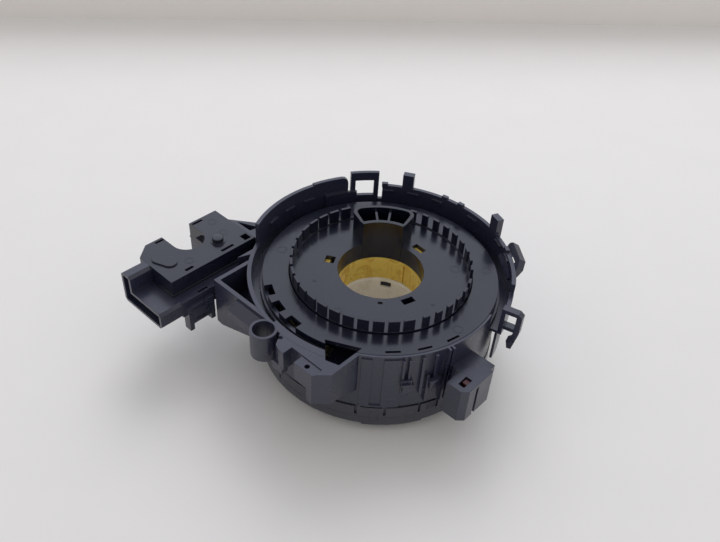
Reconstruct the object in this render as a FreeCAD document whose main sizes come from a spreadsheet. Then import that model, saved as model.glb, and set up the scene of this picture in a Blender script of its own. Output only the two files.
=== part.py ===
import FreeCAD
import Part
import Sketcher
import math
import os

# A steering clock spring lies on its rotor feet. The origin is on the bore's axis, in the plane
# of the feet. +Z points to the face with the code ring. The arm's connector opens towards -X.

SIZES = (
    # Heights of the whole unit
    ("deck_z", 42.0, "top face of the cover disc above the feet"),
    ("seam_z", 15.0, "seam between the housing and the lower lid"),
    ("lid_z", 5.0, "underside of the lower lid"),
    # Housing can and the collar round it
    ("can_radius", 49.0, "outside of the can"),
    ("can_wall", 1.0, "wall of the can"),
    ("collar_radius", 5.0, "outside of the collar beyond the can"),
    ("collar_wall", 1.7, "wall of the collar"),
    ("collar_from", 283.0, "azimuth where the collar starts"),
    ("collar_to", 566.0, "azimuth where the collar ends, past one turn"),
    ("collar_base_drop", 8.0, "foot of the collar below the deck"),
    ("nib_rise", 1.0, "small nibs on the collar's top"),
    ("channel_step", 4.5, "top of the can below the deck where the collar runs"),
    ("channel_width", 1.8, "channel outside the can's wall, at the deck"),
    ("moulding_seam", 0.05, "seam between the mouldings of the housing"),
    ("floor_wall", 1.2, "floor between can and collar"),
    ("skirt_radius", 3.5, "outside of the skirt under the collar, beyond the can"),
    ("skirt_drop", 22.0, "lower edge of the skirt below the deck"),
    ("step_rise", 1.0, "collar top beside the front opening"),
    ("low_rise", 5.0, "collar top at the right"),
    ("mid_rise", 6.0, "collar top at the far right"),
    ("tab_rise", 10.6, "collar top at the raised tab"),
    ("back_rise", 10.0, "collar top along the back"),
    ("low_from", 300.0, "azimuth where the low stretch starts"),
    ("mid_from", 334.0, "azimuth where the middle stretch starts"),
    ("mid_to", 401.5, "azimuth where the middle stretch ends"),
    ("tab_from", 418.8, "azimuth where the raised tab starts"),
    ("tab_to", 437.0, "azimuth where the raised tab ends"),
    ("tab_round", 2.6, "rounding of the raised tab's corner"),
    ("back_to", 478.0, "azimuth where the back stretch ends"),
    ("slit_drop", 1.2, "bottom of the slits beside the square loop"),
    ("post_rise", 12.6, "top of the two posts"),
    ("post_width", 5.0, "width of a post"),
    ("post_depth", 3.0, "depth of a post, outwards"),
    ("post_one_az", 29.0, "azimuth of the back post"),
    ("post_two_az", 337.5, "azimuth of the right post"),
    ("ledge_length", 6.0, "angle that an inner ledge spans"),
    ("ledge_depth", 0.7, "how far an inner ledge stands in"),
    ("ledge_rise", 4.0, "top of an inner ledge above the deck"),
    ("ledge_thick", 0.6, "height of an inner ledge"),
    ("inner_wall_from", 414.5, "azimuth where the low inner wall starts"),
    ("inner_wall_to", 431.0, "azimuth where it ends"),
    ("inner_wall_rise", 3.6, "top of the low inner wall"),
    ("inner_wall_thick", 1.2, "thickness of the low inner wall"),
    ("thick_from", 532.0, "azimuth where the collar is thicker, beside the bracket"),
    # Square loop
    ("loop_from", 403.5, "azimuth where the square loop starts"),
    ("loop_to", 417.5, "azimuth where the square loop ends"),
    ("loop_rise", 12.7, "top of the square loop"),
    ("loop_bar", 2.4, "side bar of the square loop, as an angle"),
    ("loop_window_low", 0.7, "window's lower edge above the deck"),
    ("loop_window_high", 8.6, "window's upper edge above the deck"),
    # Slanted loop and ladder hook
    ("slant_az", 318.6, "azimuth of the slanted loop"),
    ("slant_width", 15.2, "width of the slanted loop"),
    ("slant_reach", 9.6, "length of the slanted loop outwards"),
    ("slant_bar", 2.8, "bar of the slanted loop"),
    ("slant_tilt", 60.0, "slope of the slanted loop above level"),
    ("slant_thick", 3.0, "thickness of the slanted loop"),
    ("slant_root_rise", -2.0, "root of the slanted loop above the deck"),
    ("ladder_az", 284.5, "azimuth of the ladder hook"),
    ("ladder_reach", 6.6, "how far the ladder hook stands out"),
    ("ladder_top_rise", 4.9, "top of the ladder hook above the deck"),
    ("ladder_drop", 13.2, "foot of the ladder hook below the deck"),
    ("ladder_thick", 3.0, "width of the ladder hook along the collar"),
    ("ladder_bar", 1.7, "bar of the ladder hook"),
    # Cover disc
    ("cover_thick", 2.0, "thickness of the cover disc"),
    ("cover_gap", 0.15, "gap between the cover disc and the can"),
    ("cover_skirt", 1.0, "skirt under the cover disc's rim"),
    ("cover_skirt_wall", 1.6, "wall of that skirt"),
    ("cover_slot_radius", 1.9, "middle of the rim slots in from the can's wall"),
    ("cover_slot_width", 0.9, "width of a rim slot"),
    ("cover_slot_length", 5.6, "length of a rim slot"),
    ("cover_slot_az", 227.5, "azimuth of the first rim slot"),
    ("cover_slot_pitch", 15.0, "angle from one rim slot to the next"),
    ("cover_slot_count", 3.0, "number of rim slots"),
    ("notch_az", 152.0, "azimuth of the first rim notch"),
    ("notch_pitch", 12.5, "angle from one rim notch to the next"),
    ("notch_count", 3.0, "number of rim notches"),
    ("notch_depth", 3.2, "depth of a rim notch"),
    ("notch_length", 6.0, "length of a rim notch"),
    # Rotor disc and its code ring
    ("bore_radius", 17.6, "bore at the deck"),
    ("rotor_radius", 37.0, "outside of the rotor disc"),
    ("running_gap", 0.4, "gap between the rotor and the fixed parts"),
    ("rotor_thick", 2.0, "thickness of the rotor disc"),
    ("code_wall", 1.1, "wall of the code ring"),
    ("code_rim_rise", 0.7, "low rim that the teeth stand on"),
    ("code_rise", 6.0, "top of the teeth above the deck"),
    ("code_pitch", 9.0, "angle from one tooth to the next"),
    ("wide_tooth", 6.8, "angle of a wide tooth"),
    ("narrow_tooth", 4.4, "angle of a narrow tooth"),
    ("wide_first_az", 67.3, "azimuth of the first wide tooth"),
    ("wide_count", 20.0, "number of wide teeth"),
    ("narrow_first_az", 249.0, "azimuth of the first narrow tooth"),
    ("narrow_count", 6.0, "number of narrow teeth in the first run"),
    ("fine_first_az", 307.3, "azimuth of the second run's first tooth"),
    ("fine_count", 9.0, "number of narrow teeth in the second run"),
    ("drum_radius", 33.0, "outside of the drum under the rotor disc"),
    ("drum_wall", 1.5, "wall of the drum"),
    # Cancel cam
    ("cam_wall", 1.7, "wall of the cam's sleeve"),
    ("cam_seam", 0.1, "seam between the cam's sleeve and the rotor disc"),
    ("cam_drop", 8.0, "lower edge of the cam's sleeve below the deck"),
    ("cam_radius", 30.5, "outside of the lobe"),
    ("cam_from", 12.5, "azimuth where the lobe starts"),
    ("cam_to", 68.5, "azimuth where the lobe ends"),
    ("cam_rise", 10.2, "top of the lobe above the deck"),
    ("cam_lip_rise", 10.7, "top of the lobe's inner wall above the deck"),
    ("cam_rib", 1.0, "rib inside the lobe"),
    ("cam_rib_first", 34.8, "azimuth of the first rib"),
    ("cam_rib_pitch", 12.5, "angle from one rib to the next"),
    ("cam_rib_count", 2.0, "number of ribs"),
    ("cam_round", 4.0, "rounding of the lobe's outer corners"),
    # Amber hub sleeve and natural base ring
    ("hub_gap", 0.4, "step inwards from the bore to the amber sleeve"),
    ("hub_wall", 1.7, "wall of the amber sleeve"),
    ("hub_drop", 19.0, "lower edge of the amber sleeve below the deck"),
    ("hub_tab_reach", 4.4, "how far the sleeve's tabs reach under the disc"),
    ("hub_tab_angle", 26.0, "angle that a tab spans"),
    ("hub_tab_one_az", 119.0, "azimuth of the first tab"),
    ("hub_tab_two_az", 355.0, "azimuth of the second tab"),
    ("hub_ring_drop", 4.0, "shoulder below the disc"),
    ("hub_clip_wall", 1.3, "wall of the sleeve's shoulder and tabs"),
    ("hub_slit_az", 3.5, "azimuth of the slit in the sleeve"),
    ("hub_slit_wide", 0.8, "width of that slit"),
    ("base_gap", 0.9, "step inwards from the bore to the base ring"),
    ("base_wall", 2.6, "wall of the base ring"),
    ("base_recess_az", 29.5, "azimuth of the recess in the base ring"),
    ("base_recess_wide", 4.6, "width of that recess"),
    ("base_recess_tall", 2.4, "height of that recess"),
    ("base_recess_deep", 1.2, "depth of that recess"),
    # Rotor base with its sockets and driving pegs
    ("base_plate_radius", 33.6, "outside of the rotor's lower plate"),
    ("base_plate_thick", 2.2, "thickness of the rotor's lower plate"),
    ("airbag_az", 180.0, "azimuth of the airbag socket"),
    ("switch_az", 0.0, "azimuth of the switch socket"),
    ("socket_middle", 26.0, "middle of a socket from the axis"),
    ("airbag_long", 20.0, "length of the airbag socket"),
    ("airbag_deep", 10.0, "depth of the airbag socket, outwards"),
    ("switch_long", 24.0, "length of the switch socket"),
    ("switch_deep", 9.0, "depth of the switch socket, outwards"),
    ("socket_wall", 1.2, "wall of a socket"),
    ("peg_radius", 3.0, "radius of a driving peg"),
    ("peg_middle", 27.0, "middle of a peg from the axis"),
    ("peg_az", 90.0, "azimuth of the first peg"),
    # Lower lid
    ("lid_radius", 0.3, "outside of the lower lid beyond the can"),
    ("lid_wall", 1.1, "wall of the lower lid"),
    ("lid_floor", 1.5, "floor of the lower lid"),
    ("lid_lip_rise", 4.0, "lip round the lid's opening above its floor"),
    ("lid_slot_tall", 0.9, "dark slots along the seam"),
    ("lid_slit_wide", 1.0, "upright slits in the lid's wall"),
    ("lid_slit_tall", 5.2, "height of those slits"),
    # Flat cable in its chamber
    ("tape_thick", 0.25, "thickness of the wound flat cable"),
    ("tape_turns", 4.0, "turns of the flat cable"),
    ("tape_inner_gap", 3.6, "innermost turn of the flat cable beyond the drum"),
    ("tape_outer_gap", 3.4, "outermost turn of the flat cable in from the can's wall"),
    ("tape_gap", 0.3, "gap between the flat cable and what it lies on"),
    ("film_thick", 0.3, "thickness of the slip film under the flat cable"),
    ("block_angle", 16.0, "angle that a cable end block spans"),
    ("block_az", 0.0, "azimuth of the cable end blocks"),
    # Arm with the connector
    ("arm_left", 16.8, "left end of the cover plate beyond the can"),
    ("arm_right", -23.3, "right end of the cover plate"),
    ("plate_front", 2.0, "front edge of the cover plate beyond the can"),
    ("plate_back", 28.4, "back edge of the cover plate beyond the can"),
    ("plate_drop", 7.5, "foot of the cover plate's walls below the deck"),
    ("tray_front", -3.5, "front face of the arm's tray beyond the can"),
    ("tray_drop", 15.0, "underside of the tray below the deck"),
    ("bay_middle", 21.3, "middle of the round bay from the plate's left end"),
    ("bay_radius", 7.0, "radius of the round bay"),
    ("bay_front", 20.0, "centre of the round bay beyond the can"),
    ("bay_depth", 3.2, "depth of the round bay"),
    ("shroud_left", 27.0, "mouth of the connector beyond the can"),
    ("shroud_back", 21.4, "back face of the connector beyond the can"),
    ("shroud_wall", 1.2, "wall of the connector"),
    ("key_front", 15.3, "front face of the connector's key housing beyond the can"),
    ("pin_count", 8.0, "number of connector pins"),
    ("pin_size", 0.64, "side of a square pin"),
    ("pin_pitch", 2.0, "distance from one pin to the next"),
    ("pin_reach", 5.0, "how far a pin stands out of its carrier"),
    # Frame between the arm and the can
    ("rib_wall", 1.8, "wall of the frame"),
    ("frame_left", 3.8, "outer corner of the frame beyond the can"),
    ("frame_back", -7.8, "back wall of the frame beyond the can"),
    ("frame_drop", 15.0, "lower edge of the frame below the deck"),
    ("tube_x", 7.9, "middle of the screw tube beyond the can"),
    ("tube_y", 7.1, "middle of the screw tube"),
    ("tube_radius", 5.3, "outside of the screw tube"),
    ("tube_bore", 4.2, "bore of the screw tube"),
    ("tube_drop", 12.0, "lower edge of the screw tube below the deck"),
    # Bracket at the front left
    ("bracket_left", 11.0, "outer edge of the bracket beyond the can"),
    ("bracket_front", -26.5, "front wall of the bracket"),
    ("bracket_drop", 9.0, "depth of the bracket"),
    ("corner_drop", 15.2, "depth of the bracket's corner"),
    ("pocket_drop", 11.0, "floor of the deep pocket below the deck"),
    ("pocket_floor", 1.0, "thickness of that floor"),
    ("bracket_wall", 1.6, "wall of the bracket"),
    # Plug box at the front right
    ("box_left", -20.7, "left face of the plug box"),
    ("box_right", -1.0, "right face of the plug box"),
    ("box_front", 12.0, "front face of the plug box beyond the can"),
    ("box_back", 3.0, "back face of the plug box beyond the can"),
    ("box_top_drop", 10.0, "top of the plug box below the deck"),
    ("box_low_drop", 26.0, "mouth of the plug box below the deck"),
    ("box_wall", 1.4, "wall of the plug box"),
    ("box_bridge", 12.0, "width of the bridge that carries the plug box"),
    ("box_pin_count", 5.0, "number of pins in the plug box"),
    ("lock_left", -18.3, "left end of the lock's window"),
    ("lock_right", -13.3, "right end of the lock's window"),
    ("lock_front", 9.1, "front edge of the lock's window beyond the can"),
    ("lock_back", 6.4, "back edge of the lock's window beyond the can"),
    ("lock_length", 2.4, "length of the red lock"),
    ("slide_gap", 0.3, "gap round the red lock"),
)


class Size:
    """A length or an angle that keeps its value and the sheet formula that gives it."""

    def __init__(self, value, formula):
        self.value = float(value)
        self.formula = formula

    def __add__(self, other):
        other = as_size(other)
        return Size(self.value + other.value, f"({self.formula} + {other.formula})")

    def __sub__(self, other):
        other = as_size(other)
        return Size(self.value - other.value, f"({self.formula} - {other.formula})")

    def __mul__(self, other):
        other = as_size(other)
        return Size(self.value * other.value, f"({self.formula} * {other.formula})")

    def __truediv__(self, other):
        other = as_size(other)
        return Size(self.value / other.value, f"({self.formula} / {other.formula})")

    def __neg__(self):
        return Size(-self.value, f"(0 - {self.formula})")

    __radd__ = __add__
    __rmul__ = __mul__

    def __rsub__(self, other):
        return as_size(other) - self


def as_size(number):
    """Gives a plain number the form of a Size."""
    return number if isinstance(number, Size) else Size(number, f"({float(number):.6g})")


def arcsine(ratio):
    ratio = as_size(ratio)
    return Size(math.degrees(math.asin(ratio.value)), f"asin({ratio.formula}) / 1deg")


def cosine(angle):
    angle = as_size(angle)
    return Size(math.cos(math.radians(angle.value)), f"cos({angle.formula})")


def sine(angle):
    angle = as_size(angle)
    return Size(math.sin(math.radians(angle.value)), f"sin({angle.formula})")


def polar(radius, azimuth):
    """The point at a radius and an azimuth, as two Sizes."""
    return as_size(radius) * cosine(azimuth), as_size(radius) * sine(azimuth)


def write_sheet(document):
    """Writes the driving dimensions into a sheet and gives each one as a Size."""
    sheet = document.addObject("Spreadsheet::Sheet", "Dims")
    sizes = {}
    for row, (name, number, note) in enumerate(SIZES, start=1):
        sheet.set(f"A{row}", note)
        sheet.set(f"B{row}", str(number))
        sheet.setAlias(f"B{row}", name)
        sizes[name] = Size(number, f"Dims.{name}")
    document.recompute()
    return sizes


DOC = FreeCAD.newDocument("steering_clock_spring")
D = write_sheet(DOC)
PIECES = []


def bind(feature, path, size):
    """Ties a property of a feature to the sheet."""
    feature.setExpression(path, as_size(size).formula)


def place(feature, x=0.0, y=0.0, z=0.0, turn=0.0):
    """Ties a feature's place and its turn about Z to the sheet."""
    bind(feature, "Placement.Base.x", x)
    bind(feature, "Placement.Base.y", y)
    bind(feature, "Placement.Base.z", z)
    bind(feature, "Placement.Rotation.Angle", turn)


def box(name, x, y, z):
    """A block between two values on each axis."""
    block = DOC.addObject("Part::Box", name)
    for path, (low, high) in (("Length", x), ("Width", y), ("Height", z)):
        bind(block, path, as_size(high) - low)
    place(block, x[0], y[0], z[0])
    return block


def radial_box(name, azimuth, radii, width, z, shift=0.0):
    """A block that lies along a radius, centred on it or shifted sideways."""
    block = DOC.addObject("Part::Box", name)
    width = as_size(width)
    bind(block, "Length", as_size(radii[1]) - radii[0])
    bind(block, "Width", width)
    bind(block, "Height", as_size(z[1]) - z[0])
    side = as_size(shift) - width / 2
    x = radii[0] * cosine(azimuth) - side * sine(azimuth)
    y = radii[0] * sine(azimuth) + side * cosine(azimuth)
    place(block, x, y, z[0], azimuth)
    return block


def rod(name, radius, z, x=0.0, y=0.0):
    """An upright round bar."""
    bar = DOC.addObject("Part::Cylinder", name)
    bind(bar, "Radius", radius)
    bind(bar, "Height", as_size(z[1]) - z[0])
    place(bar, x, y, z[0])
    return bar


def fuse(name, features):
    joined = DOC.addObject("Part::MultiFuse", name)
    joined.Shapes = features
    joined.Refine = True
    return joined


def cut(name, base, tools):
    """Takes one or more features away from a base."""
    tool = tools[0] if len(tools) == 1 else DOC.addObject("Part::MultiFuse", name + "_tools")
    if len(tools) > 1:
        tool.Shapes = tools
    rest = DOC.addObject("Part::Cut", name)
    rest.Base = base
    rest.Tool = tool
    rest.Refine = True
    return rest


def ring(name, inner, outer, z):
    """A full ring between two radii."""
    return cut(name, rod(name + "_outer", outer, z), [rod(name + "_inner", inner, z)])


def sector(name, inner, outer, z, azimuths):
    """A part of a ring between two azimuths, counter-clockwise."""
    wedge = rod(name + "_outer", outer, z)
    bind(wedge, "Angle", as_size(azimuths[1]) - azimuths[0])
    place(wedge, 0.0, 0.0, z[0], azimuths[0])
    return cut(name, wedge, [rod(name + "_inner", inner, z)])


def rounded_sector(name, inner, outer, z, azimuths, radius):
    """A part of a ring whose two outer corners are rounded."""
    middle = as_size(outer) - radius
    aside = arcsine(as_size(radius) / middle)
    corners = []
    for end, way in ((azimuths[0], 1), (azimuths[1], -1)):
        centre = end + aside * way
        x, y = polar(middle, centre)
        span = (end - 2.0, centre) if way > 0 else (centre, end + 2.0)
        tool = sector(name + "_corner", middle * cosine(aside), as_size(outer) + 1, z, span)
        corners.append(cut(name + "_corner_cut", tool, [rod(name + "_rounding", radius, z, x, y)]))
    return cut(name, sector(name + "_blank", inner, outer, z, azimuths), corners)


def new_sketch(body, role, offset=0.0):
    """A sketch on one of a body's own origin planes."""
    sketch = body.newObject("Sketcher::SketchObject", body.Name + "_sketch")
    plane = [item for item in body.Origin.OriginFeatures if item.Role == role][0]
    sketch.AttachmentSupport = [(plane, "")]
    sketch.MapMode = "FlatFace"
    bind(sketch, "AttachmentOffset.Base.z", offset)
    return sketch


def draw_outline(sketch, points):
    """Draws a closed outline whose corners are tied to the sheet."""
    corners = [(as_size(x), as_size(y)) for x, y in points]
    first = sketch.GeometryCount
    count = len(corners)
    for index in range(count):
        start, end = corners[index], corners[(index + 1) % count]
        sketch.addGeometry(
            Part.LineSegment(
                FreeCAD.Vector(start[0].value, start[1].value, 0),
                FreeCAD.Vector(end[0].value, end[1].value, 0),
            )
        )
    for index in range(count):
        after = first + (index + 1) % count
        sketch.addConstraint(Sketcher.Constraint("Coincident", first + index, 2, after, 1))
    for index, corner in enumerate(corners):
        for kind, size in (("DistanceX", corner[0]), ("DistanceY", corner[1])):
            number = sketch.addConstraint(
                Sketcher.Constraint(kind, first + index, 1, size.value)
            )
            bind(sketch, f"Constraints[{number}]", size)


def new_body(name):
    return DOC.addObject("PartDesign::Body", name)


def pad_on(body, role, points, length, offset=0.0, middle=False):
    """Pads an outline on a body's origin plane."""
    sketch = new_sketch(body, role, offset)
    draw_outline(sketch, points)
    pad = body.newObject("PartDesign::Pad", body.Name + "_pad")
    pad.Profile = sketch
    pad.Midplane = middle
    bind(pad, "Length", length)
    return pad


def prism(name, points, z):
    """An upright prism over an outline in plan."""
    body = new_body(name)
    pad_on(body, "XY_Plane", points, as_size(z[1]) - z[0], z[0])
    return body


def upright_plate(name, points, thick, azimuth=0.0):
    """A plate whose outline is drawn in radius and height, turned to an azimuth."""
    body = new_body(name)
    pad_on(body, "XZ_Plane", points, thick, middle=True)
    bind(body, "Placement.Rotation.Angle", azimuth)
    return body


def facing_plate(name, points, radii, azimuth):
    """A plate whose outline is drawn in shift and height, between two radii."""
    body = new_body(name)
    pad_on(body, "YZ_Plane", points, as_size(radii[1]) - radii[0], radii[0])
    bind(body, "Placement.Rotation.Angle", azimuth)
    return body


def obround(name, middle, length, width, z, turn):
    """A raised oval: two round ends and the block between them."""
    x, y = as_size(middle[0]), as_size(middle[1])
    half = (as_size(length) - width) / 2
    parts = []
    for way in (-1, 1):
        end_x = x + half * cosine(turn) * way
        end_y = y + half * sine(turn) * way
        parts.append(rod(name + "_end", as_size(width) / 2, z, end_x, end_y))
    block = DOC.addObject("Part::Box", name + "_middle")
    bind(block, "Length", half * 2)
    bind(block, "Width", width)
    bind(block, "Height", as_size(z[1]) - z[0])
    side = as_size(width) / 2
    place(
        block,
        x - half * cosine(turn) + side * sine(turn),
        y - half * sine(turn) - side * cosine(turn),
        z[0],
        turn,
    )
    return fuse(name, parts + [block])


def revolve(body, points):
    """Turns an outline in radius and height round the axis."""
    sketch = new_sketch(body, "XZ_Plane")
    draw_outline(sketch, points)
    turned = body.newObject("PartDesign::Revolution", body.Name + "_turned")
    turned.Profile = sketch
    turned.ReferenceAxis = (sketch, ["V_Axis"])
    turned.Angle = 360
    return turned


def pocket_on(body, outlines, z):
    """Cuts outlines out of a body downwards from a height, and checks that they cut."""
    sketch = new_sketch(body, "XY_Plane", z[1])
    for points in outlines:
        draw_outline(sketch, points)
    pocket = body.newObject("PartDesign::Pocket", body.Name + "_pocket")
    pocket.Profile = sketch
    bind(pocket, "Length", as_size(z[1]) - z[0])
    DOC.recompute()
    before = pocket.BaseFeature.Shape.Volume
    if not pocket.Shape.Volume < before:
        raise RuntimeError(f"{pocket.Label} cuts nothing")
    return pocket


def repeat_round(body, feature, pitch, count):
    """Repeats a feature of a body round the Z axis."""
    pattern = body.newObject("PartDesign::PolarPattern", body.Name + "_pattern")
    pattern.Originals = [feature]
    pattern.Axis = (feature.Profile[0], ["N_Axis"])
    bind(pattern, "Angle", pitch * (count - 1))
    bind(pattern, "Occurrences", count)
    body.Tip = pattern
    return pattern


def sector_outline(inner, outer, azimuth, angle):
    """The four corners of a short stretch of a ring."""
    half = as_size(angle) / 2
    return [
        polar(inner, azimuth - half),
        polar(outer, azimuth - half),
        polar(outer, azimuth + half),
        polar(inner, azimuth + half),
    ]


def turned_block(middle, azimuth, along, across):
    """The corners of a rectangle in plan that faces the axis."""
    azimuth = as_size(azimuth)
    corners = []
    for side, way in ((-1, -1), (1, -1), (1, 1), (-1, 1)):
        radius = as_size(middle) + as_size(across) / 2 * way
        shift = as_size(along) / 2 * side
        x = radius * cosine(azimuth) - shift * sine(azimuth)
        y = radius * sine(azimuth) + shift * cosine(azimuth)
        corners.append((x, y))
    return corners


def steps(count):
    return range(int(round(count.value)))


def piece(name, feature):
    """Names a finished piece; its label names its file."""
    feature.Label = name
    PIECES.append(feature)


def beyond(name):
    """A distance from the axis given beyond the can's outside."""
    return D["can_radius"] + D[name]


DECK = D["deck_z"]
COLLAR_INNER = beyond("collar_radius") - D["collar_wall"]
CAN_INNER = D["can_radius"] - D["can_wall"]
COVER_INNER = D["rotor_radius"] + D["running_gap"]
CAM_SLEEVE = D["bore_radius"] + D["cam_wall"]
CHANNEL = D["can_radius"] + D["channel_width"]
SHELF = DECK - D["collar_base_drop"] + D["floor_wall"]
CODE_INNER = D["rotor_radius"] - D["code_wall"]
BASE_INNER = D["bore_radius"] - D["base_gap"]
PLATE_TOP = D["lid_z"] + D["base_plate_thick"]
TAPE_INNER = D["drum_radius"] + D["tape_inner_gap"]
TAPE_OUTER = CAN_INNER - D["tape_outer_gap"]
TAPE_LOW = D["lid_z"] + D["lid_floor"] + D["film_thick"] + D["tape_gap"]
TAPE_HIGH = DECK - D["pocket_drop"] - D["pocket_floor"] - D["tape_gap"] * 3


def drop(name):
    """A height given as a depth below the deck."""
    return DECK - D[name]


def rise(name):
    """A height given above the deck."""
    return DECK + D[name]


# Outer housing
def collar():
    """The collar's stretches, each with its own top, and the posts and nibs on it."""
    base = SHELF
    ends = (D["collar_from"], D["low_from"], D["mid_from"], D["mid_to"])
    inner, outer = COLLAR_INNER, beyond("collar_radius")
    features = []
    for name, top, start, end in (
        ("collar_step", rise("step_rise"), ends[0], ends[1]),
        ("collar_low", rise("low_rise"), ends[1], ends[2]),
        ("collar_mid", rise("mid_rise"), ends[2], ends[3]),
        ("collar_slit", drop("slit_drop"), ends[3], D["tab_from"]),
        ("collar_back", rise("back_rise"), D["tab_to"], D["back_to"]),
        ("collar_left", DECK, D["back_to"], D["collar_to"]),
    ):
        features.append(sector(name, inner, outer, (base, top), (start, end)))
    features.append(raised_tab())
    thick = (D["thick_from"], D["collar_to"])
    features.append(sector("collar_thick", CHANNEL, inner + 0.2, (base, DECK), thick))
    for name in ("post_one_az", "post_two_az"):
        radii = (inner, inner + D["post_depth"])
        features.append(radial_box(name, D[name], radii, D["post_width"], (base, rise("post_rise"))))
    for azimuth, name in ((9.5, "mid_rise"), (0.5, "mid_rise"), (40.3, "mid_rise"), (323.5, "low_rise")):
        top = rise(name)
        nib = (azimuth - D["ledge_length"] / 4, azimuth + D["ledge_length"] / 4)
        features.append(sector("collar_nib", inner, outer, (top - 1, top + D["nib_rise"]), nib))
    return features


def raised_tab():
    """The tall stretch of the collar beside the square loop, one corner of it rounded."""
    top = rise("tab_rise")
    span = (D["tab_from"], D["tab_to"])
    blank = sector("tab_blank", COLLAR_INNER, beyond("collar_radius"), (SHELF, top), span)
    size = D["tab_round"]
    corner = [(-1.0, top + 1), (-1.0, top - size), (0.0, top - size)]
    for angle in (30.0, 60.0, 90.0):
        corner.append((size - size * cosine(angle), top - size + size * sine(angle)))
    corner.append((size, top + 1))
    radii = (COLLAR_INNER - 1, beyond("collar_radius") + 1)
    return cut("raised_tab", blank, [facing_plate("tab_corner", corner, radii, D["tab_from"])])


def inner_ledges():
    """Thin ledges inside the collar and the low wall in front of the square loop."""
    inner = COLLAR_INNER - D["ledge_depth"]
    top = rise("ledge_rise")
    low = top - D["ledge_thick"]
    half = D["ledge_length"] / 2
    features = [
        sector("inner_ledge", inner, COLLAR_INNER + 0.2, (low, top), (azimuth - half, azimuth + half))
        for azimuth in (13.0, 26.0, 38.5, 80.0, 92.0, 104.0, 320.0, 331.0, 352.0)
    ]
    span = (D["inner_wall_from"], D["inner_wall_to"])
    wall = COLLAR_INNER - D["inner_wall_thick"]
    features.append(
        sector("inner_wall", wall, COLLAR_INNER + 0.2, (SHELF, rise("inner_wall_rise")), span)
    )
    return features


def square_loop():
    """The upright loop at the back of the collar."""
    plate = sector(
        "loop_plate",
        COLLAR_INNER,
        beyond("collar_radius"),
        (SHELF, rise("loop_rise")),
        (D["loop_from"], D["loop_to"]),
    )
    window = sector(
        "loop_window",
        COLLAR_INNER - 1,
        beyond("collar_radius") + 1,
        (rise("loop_window_low"), rise("loop_window_high")),
        (D["loop_from"] + D["loop_bar"], D["loop_to"] - D["loop_bar"]),
    )
    return cut("square_loop", plate, [window])


def slanted_loop():
    """The loop that stands out and up from the collar at the right."""
    half = D["slant_width"] / 2
    bar = D["slant_bar"]
    reach = D["slant_reach"]
    body = new_body("slanted_loop")
    outer = [
        (0.0, -half),
        (reach - bar, -half),
        (reach, bar - half),
        (reach, half - bar / 2),
        (reach - bar / 2, half),
        (0.0, half),
    ]
    pad_on(body, "XY_Plane", outer, D["slant_thick"])
    side = bar * 1.4
    hole = [(bar, side - half), (reach - bar, side - half), (reach - bar, half - side), (bar, half - side)]
    pocket_on(body, [hole], (0.0, D["slant_thick"]))
    azimuth, tilt = D["slant_az"], D["slant_tilt"]
    root = beyond("collar_radius") - 0.6
    turn = FreeCAD.Rotation(FreeCAD.Vector(0, 0, 1), azimuth.value).multiply(
        FreeCAD.Rotation(FreeCAD.Vector(0, 1, 0), -tilt.value)
    )
    body.Placement = FreeCAD.Placement(FreeCAD.Vector(0, 0, 0), turn)
    bind(body, "Placement.Base.x", root * cosine(azimuth))
    bind(body, "Placement.Base.y", root * sine(azimuth))
    bind(body, "Placement.Base.z", rise("slant_root_rise"))
    return body


def ladder_hook():
    """The hook with two openings that hangs beside the collar."""
    root, outer = COLLAR_INNER + 0.1, beyond("collar_radius")
    out = outer + D["ladder_reach"]
    bar = D["ladder_bar"]
    top, foot = rise("ladder_top_rise"), drop("ladder_drop")
    middle = DECK - bar * 1.7
    inside = out - bar * 1.3
    outline = [
        (root, SHELF),
        (root, top),
        (out - bar, top),
        (out, top - bar * 0.8),
        (out, middle - bar),
        (out - bar, foot),
        (out - bar * 2, foot - 0.2),
        (out - bar * 2.5, foot + bar * 2),
        (out - bar * 1.8, foot + bar * 2.7),
        (inside, middle - bar),
        (outer, middle - bar),
        (outer, middle),
        (inside, middle),
        (inside, top - bar),
        (outer, top - bar),
        (outer, middle - bar * 1.5),
        (outer, SHELF),
    ]
    arm = [point for index, point in enumerate(outline) if index not in (12, 13, 14, 15)]
    hook = upright_plate("ladder_arm", arm, D["ladder_thick"], D["ladder_az"])
    window = upright_plate(
        "ladder_window",
        [(outer, middle), (inside, middle), (inside, top - bar), (outer, top - bar)],
        D["ladder_thick"] + 1,
        D["ladder_az"],
    )
    return cut("ladder_hook", hook, [window])


def collar_wall():
    """The collar with its loops, posts and hook."""
    features = collar() + inner_ledges() + [square_loop(), slanted_loop(), ladder_hook()]
    tools = [deep_pocket("collar_pocket", 20.0), tube_bore("collar_tube_bore")]
    piece("collar_wall", cut("collar_cut", fuse("collar_solid", features), tools))


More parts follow.
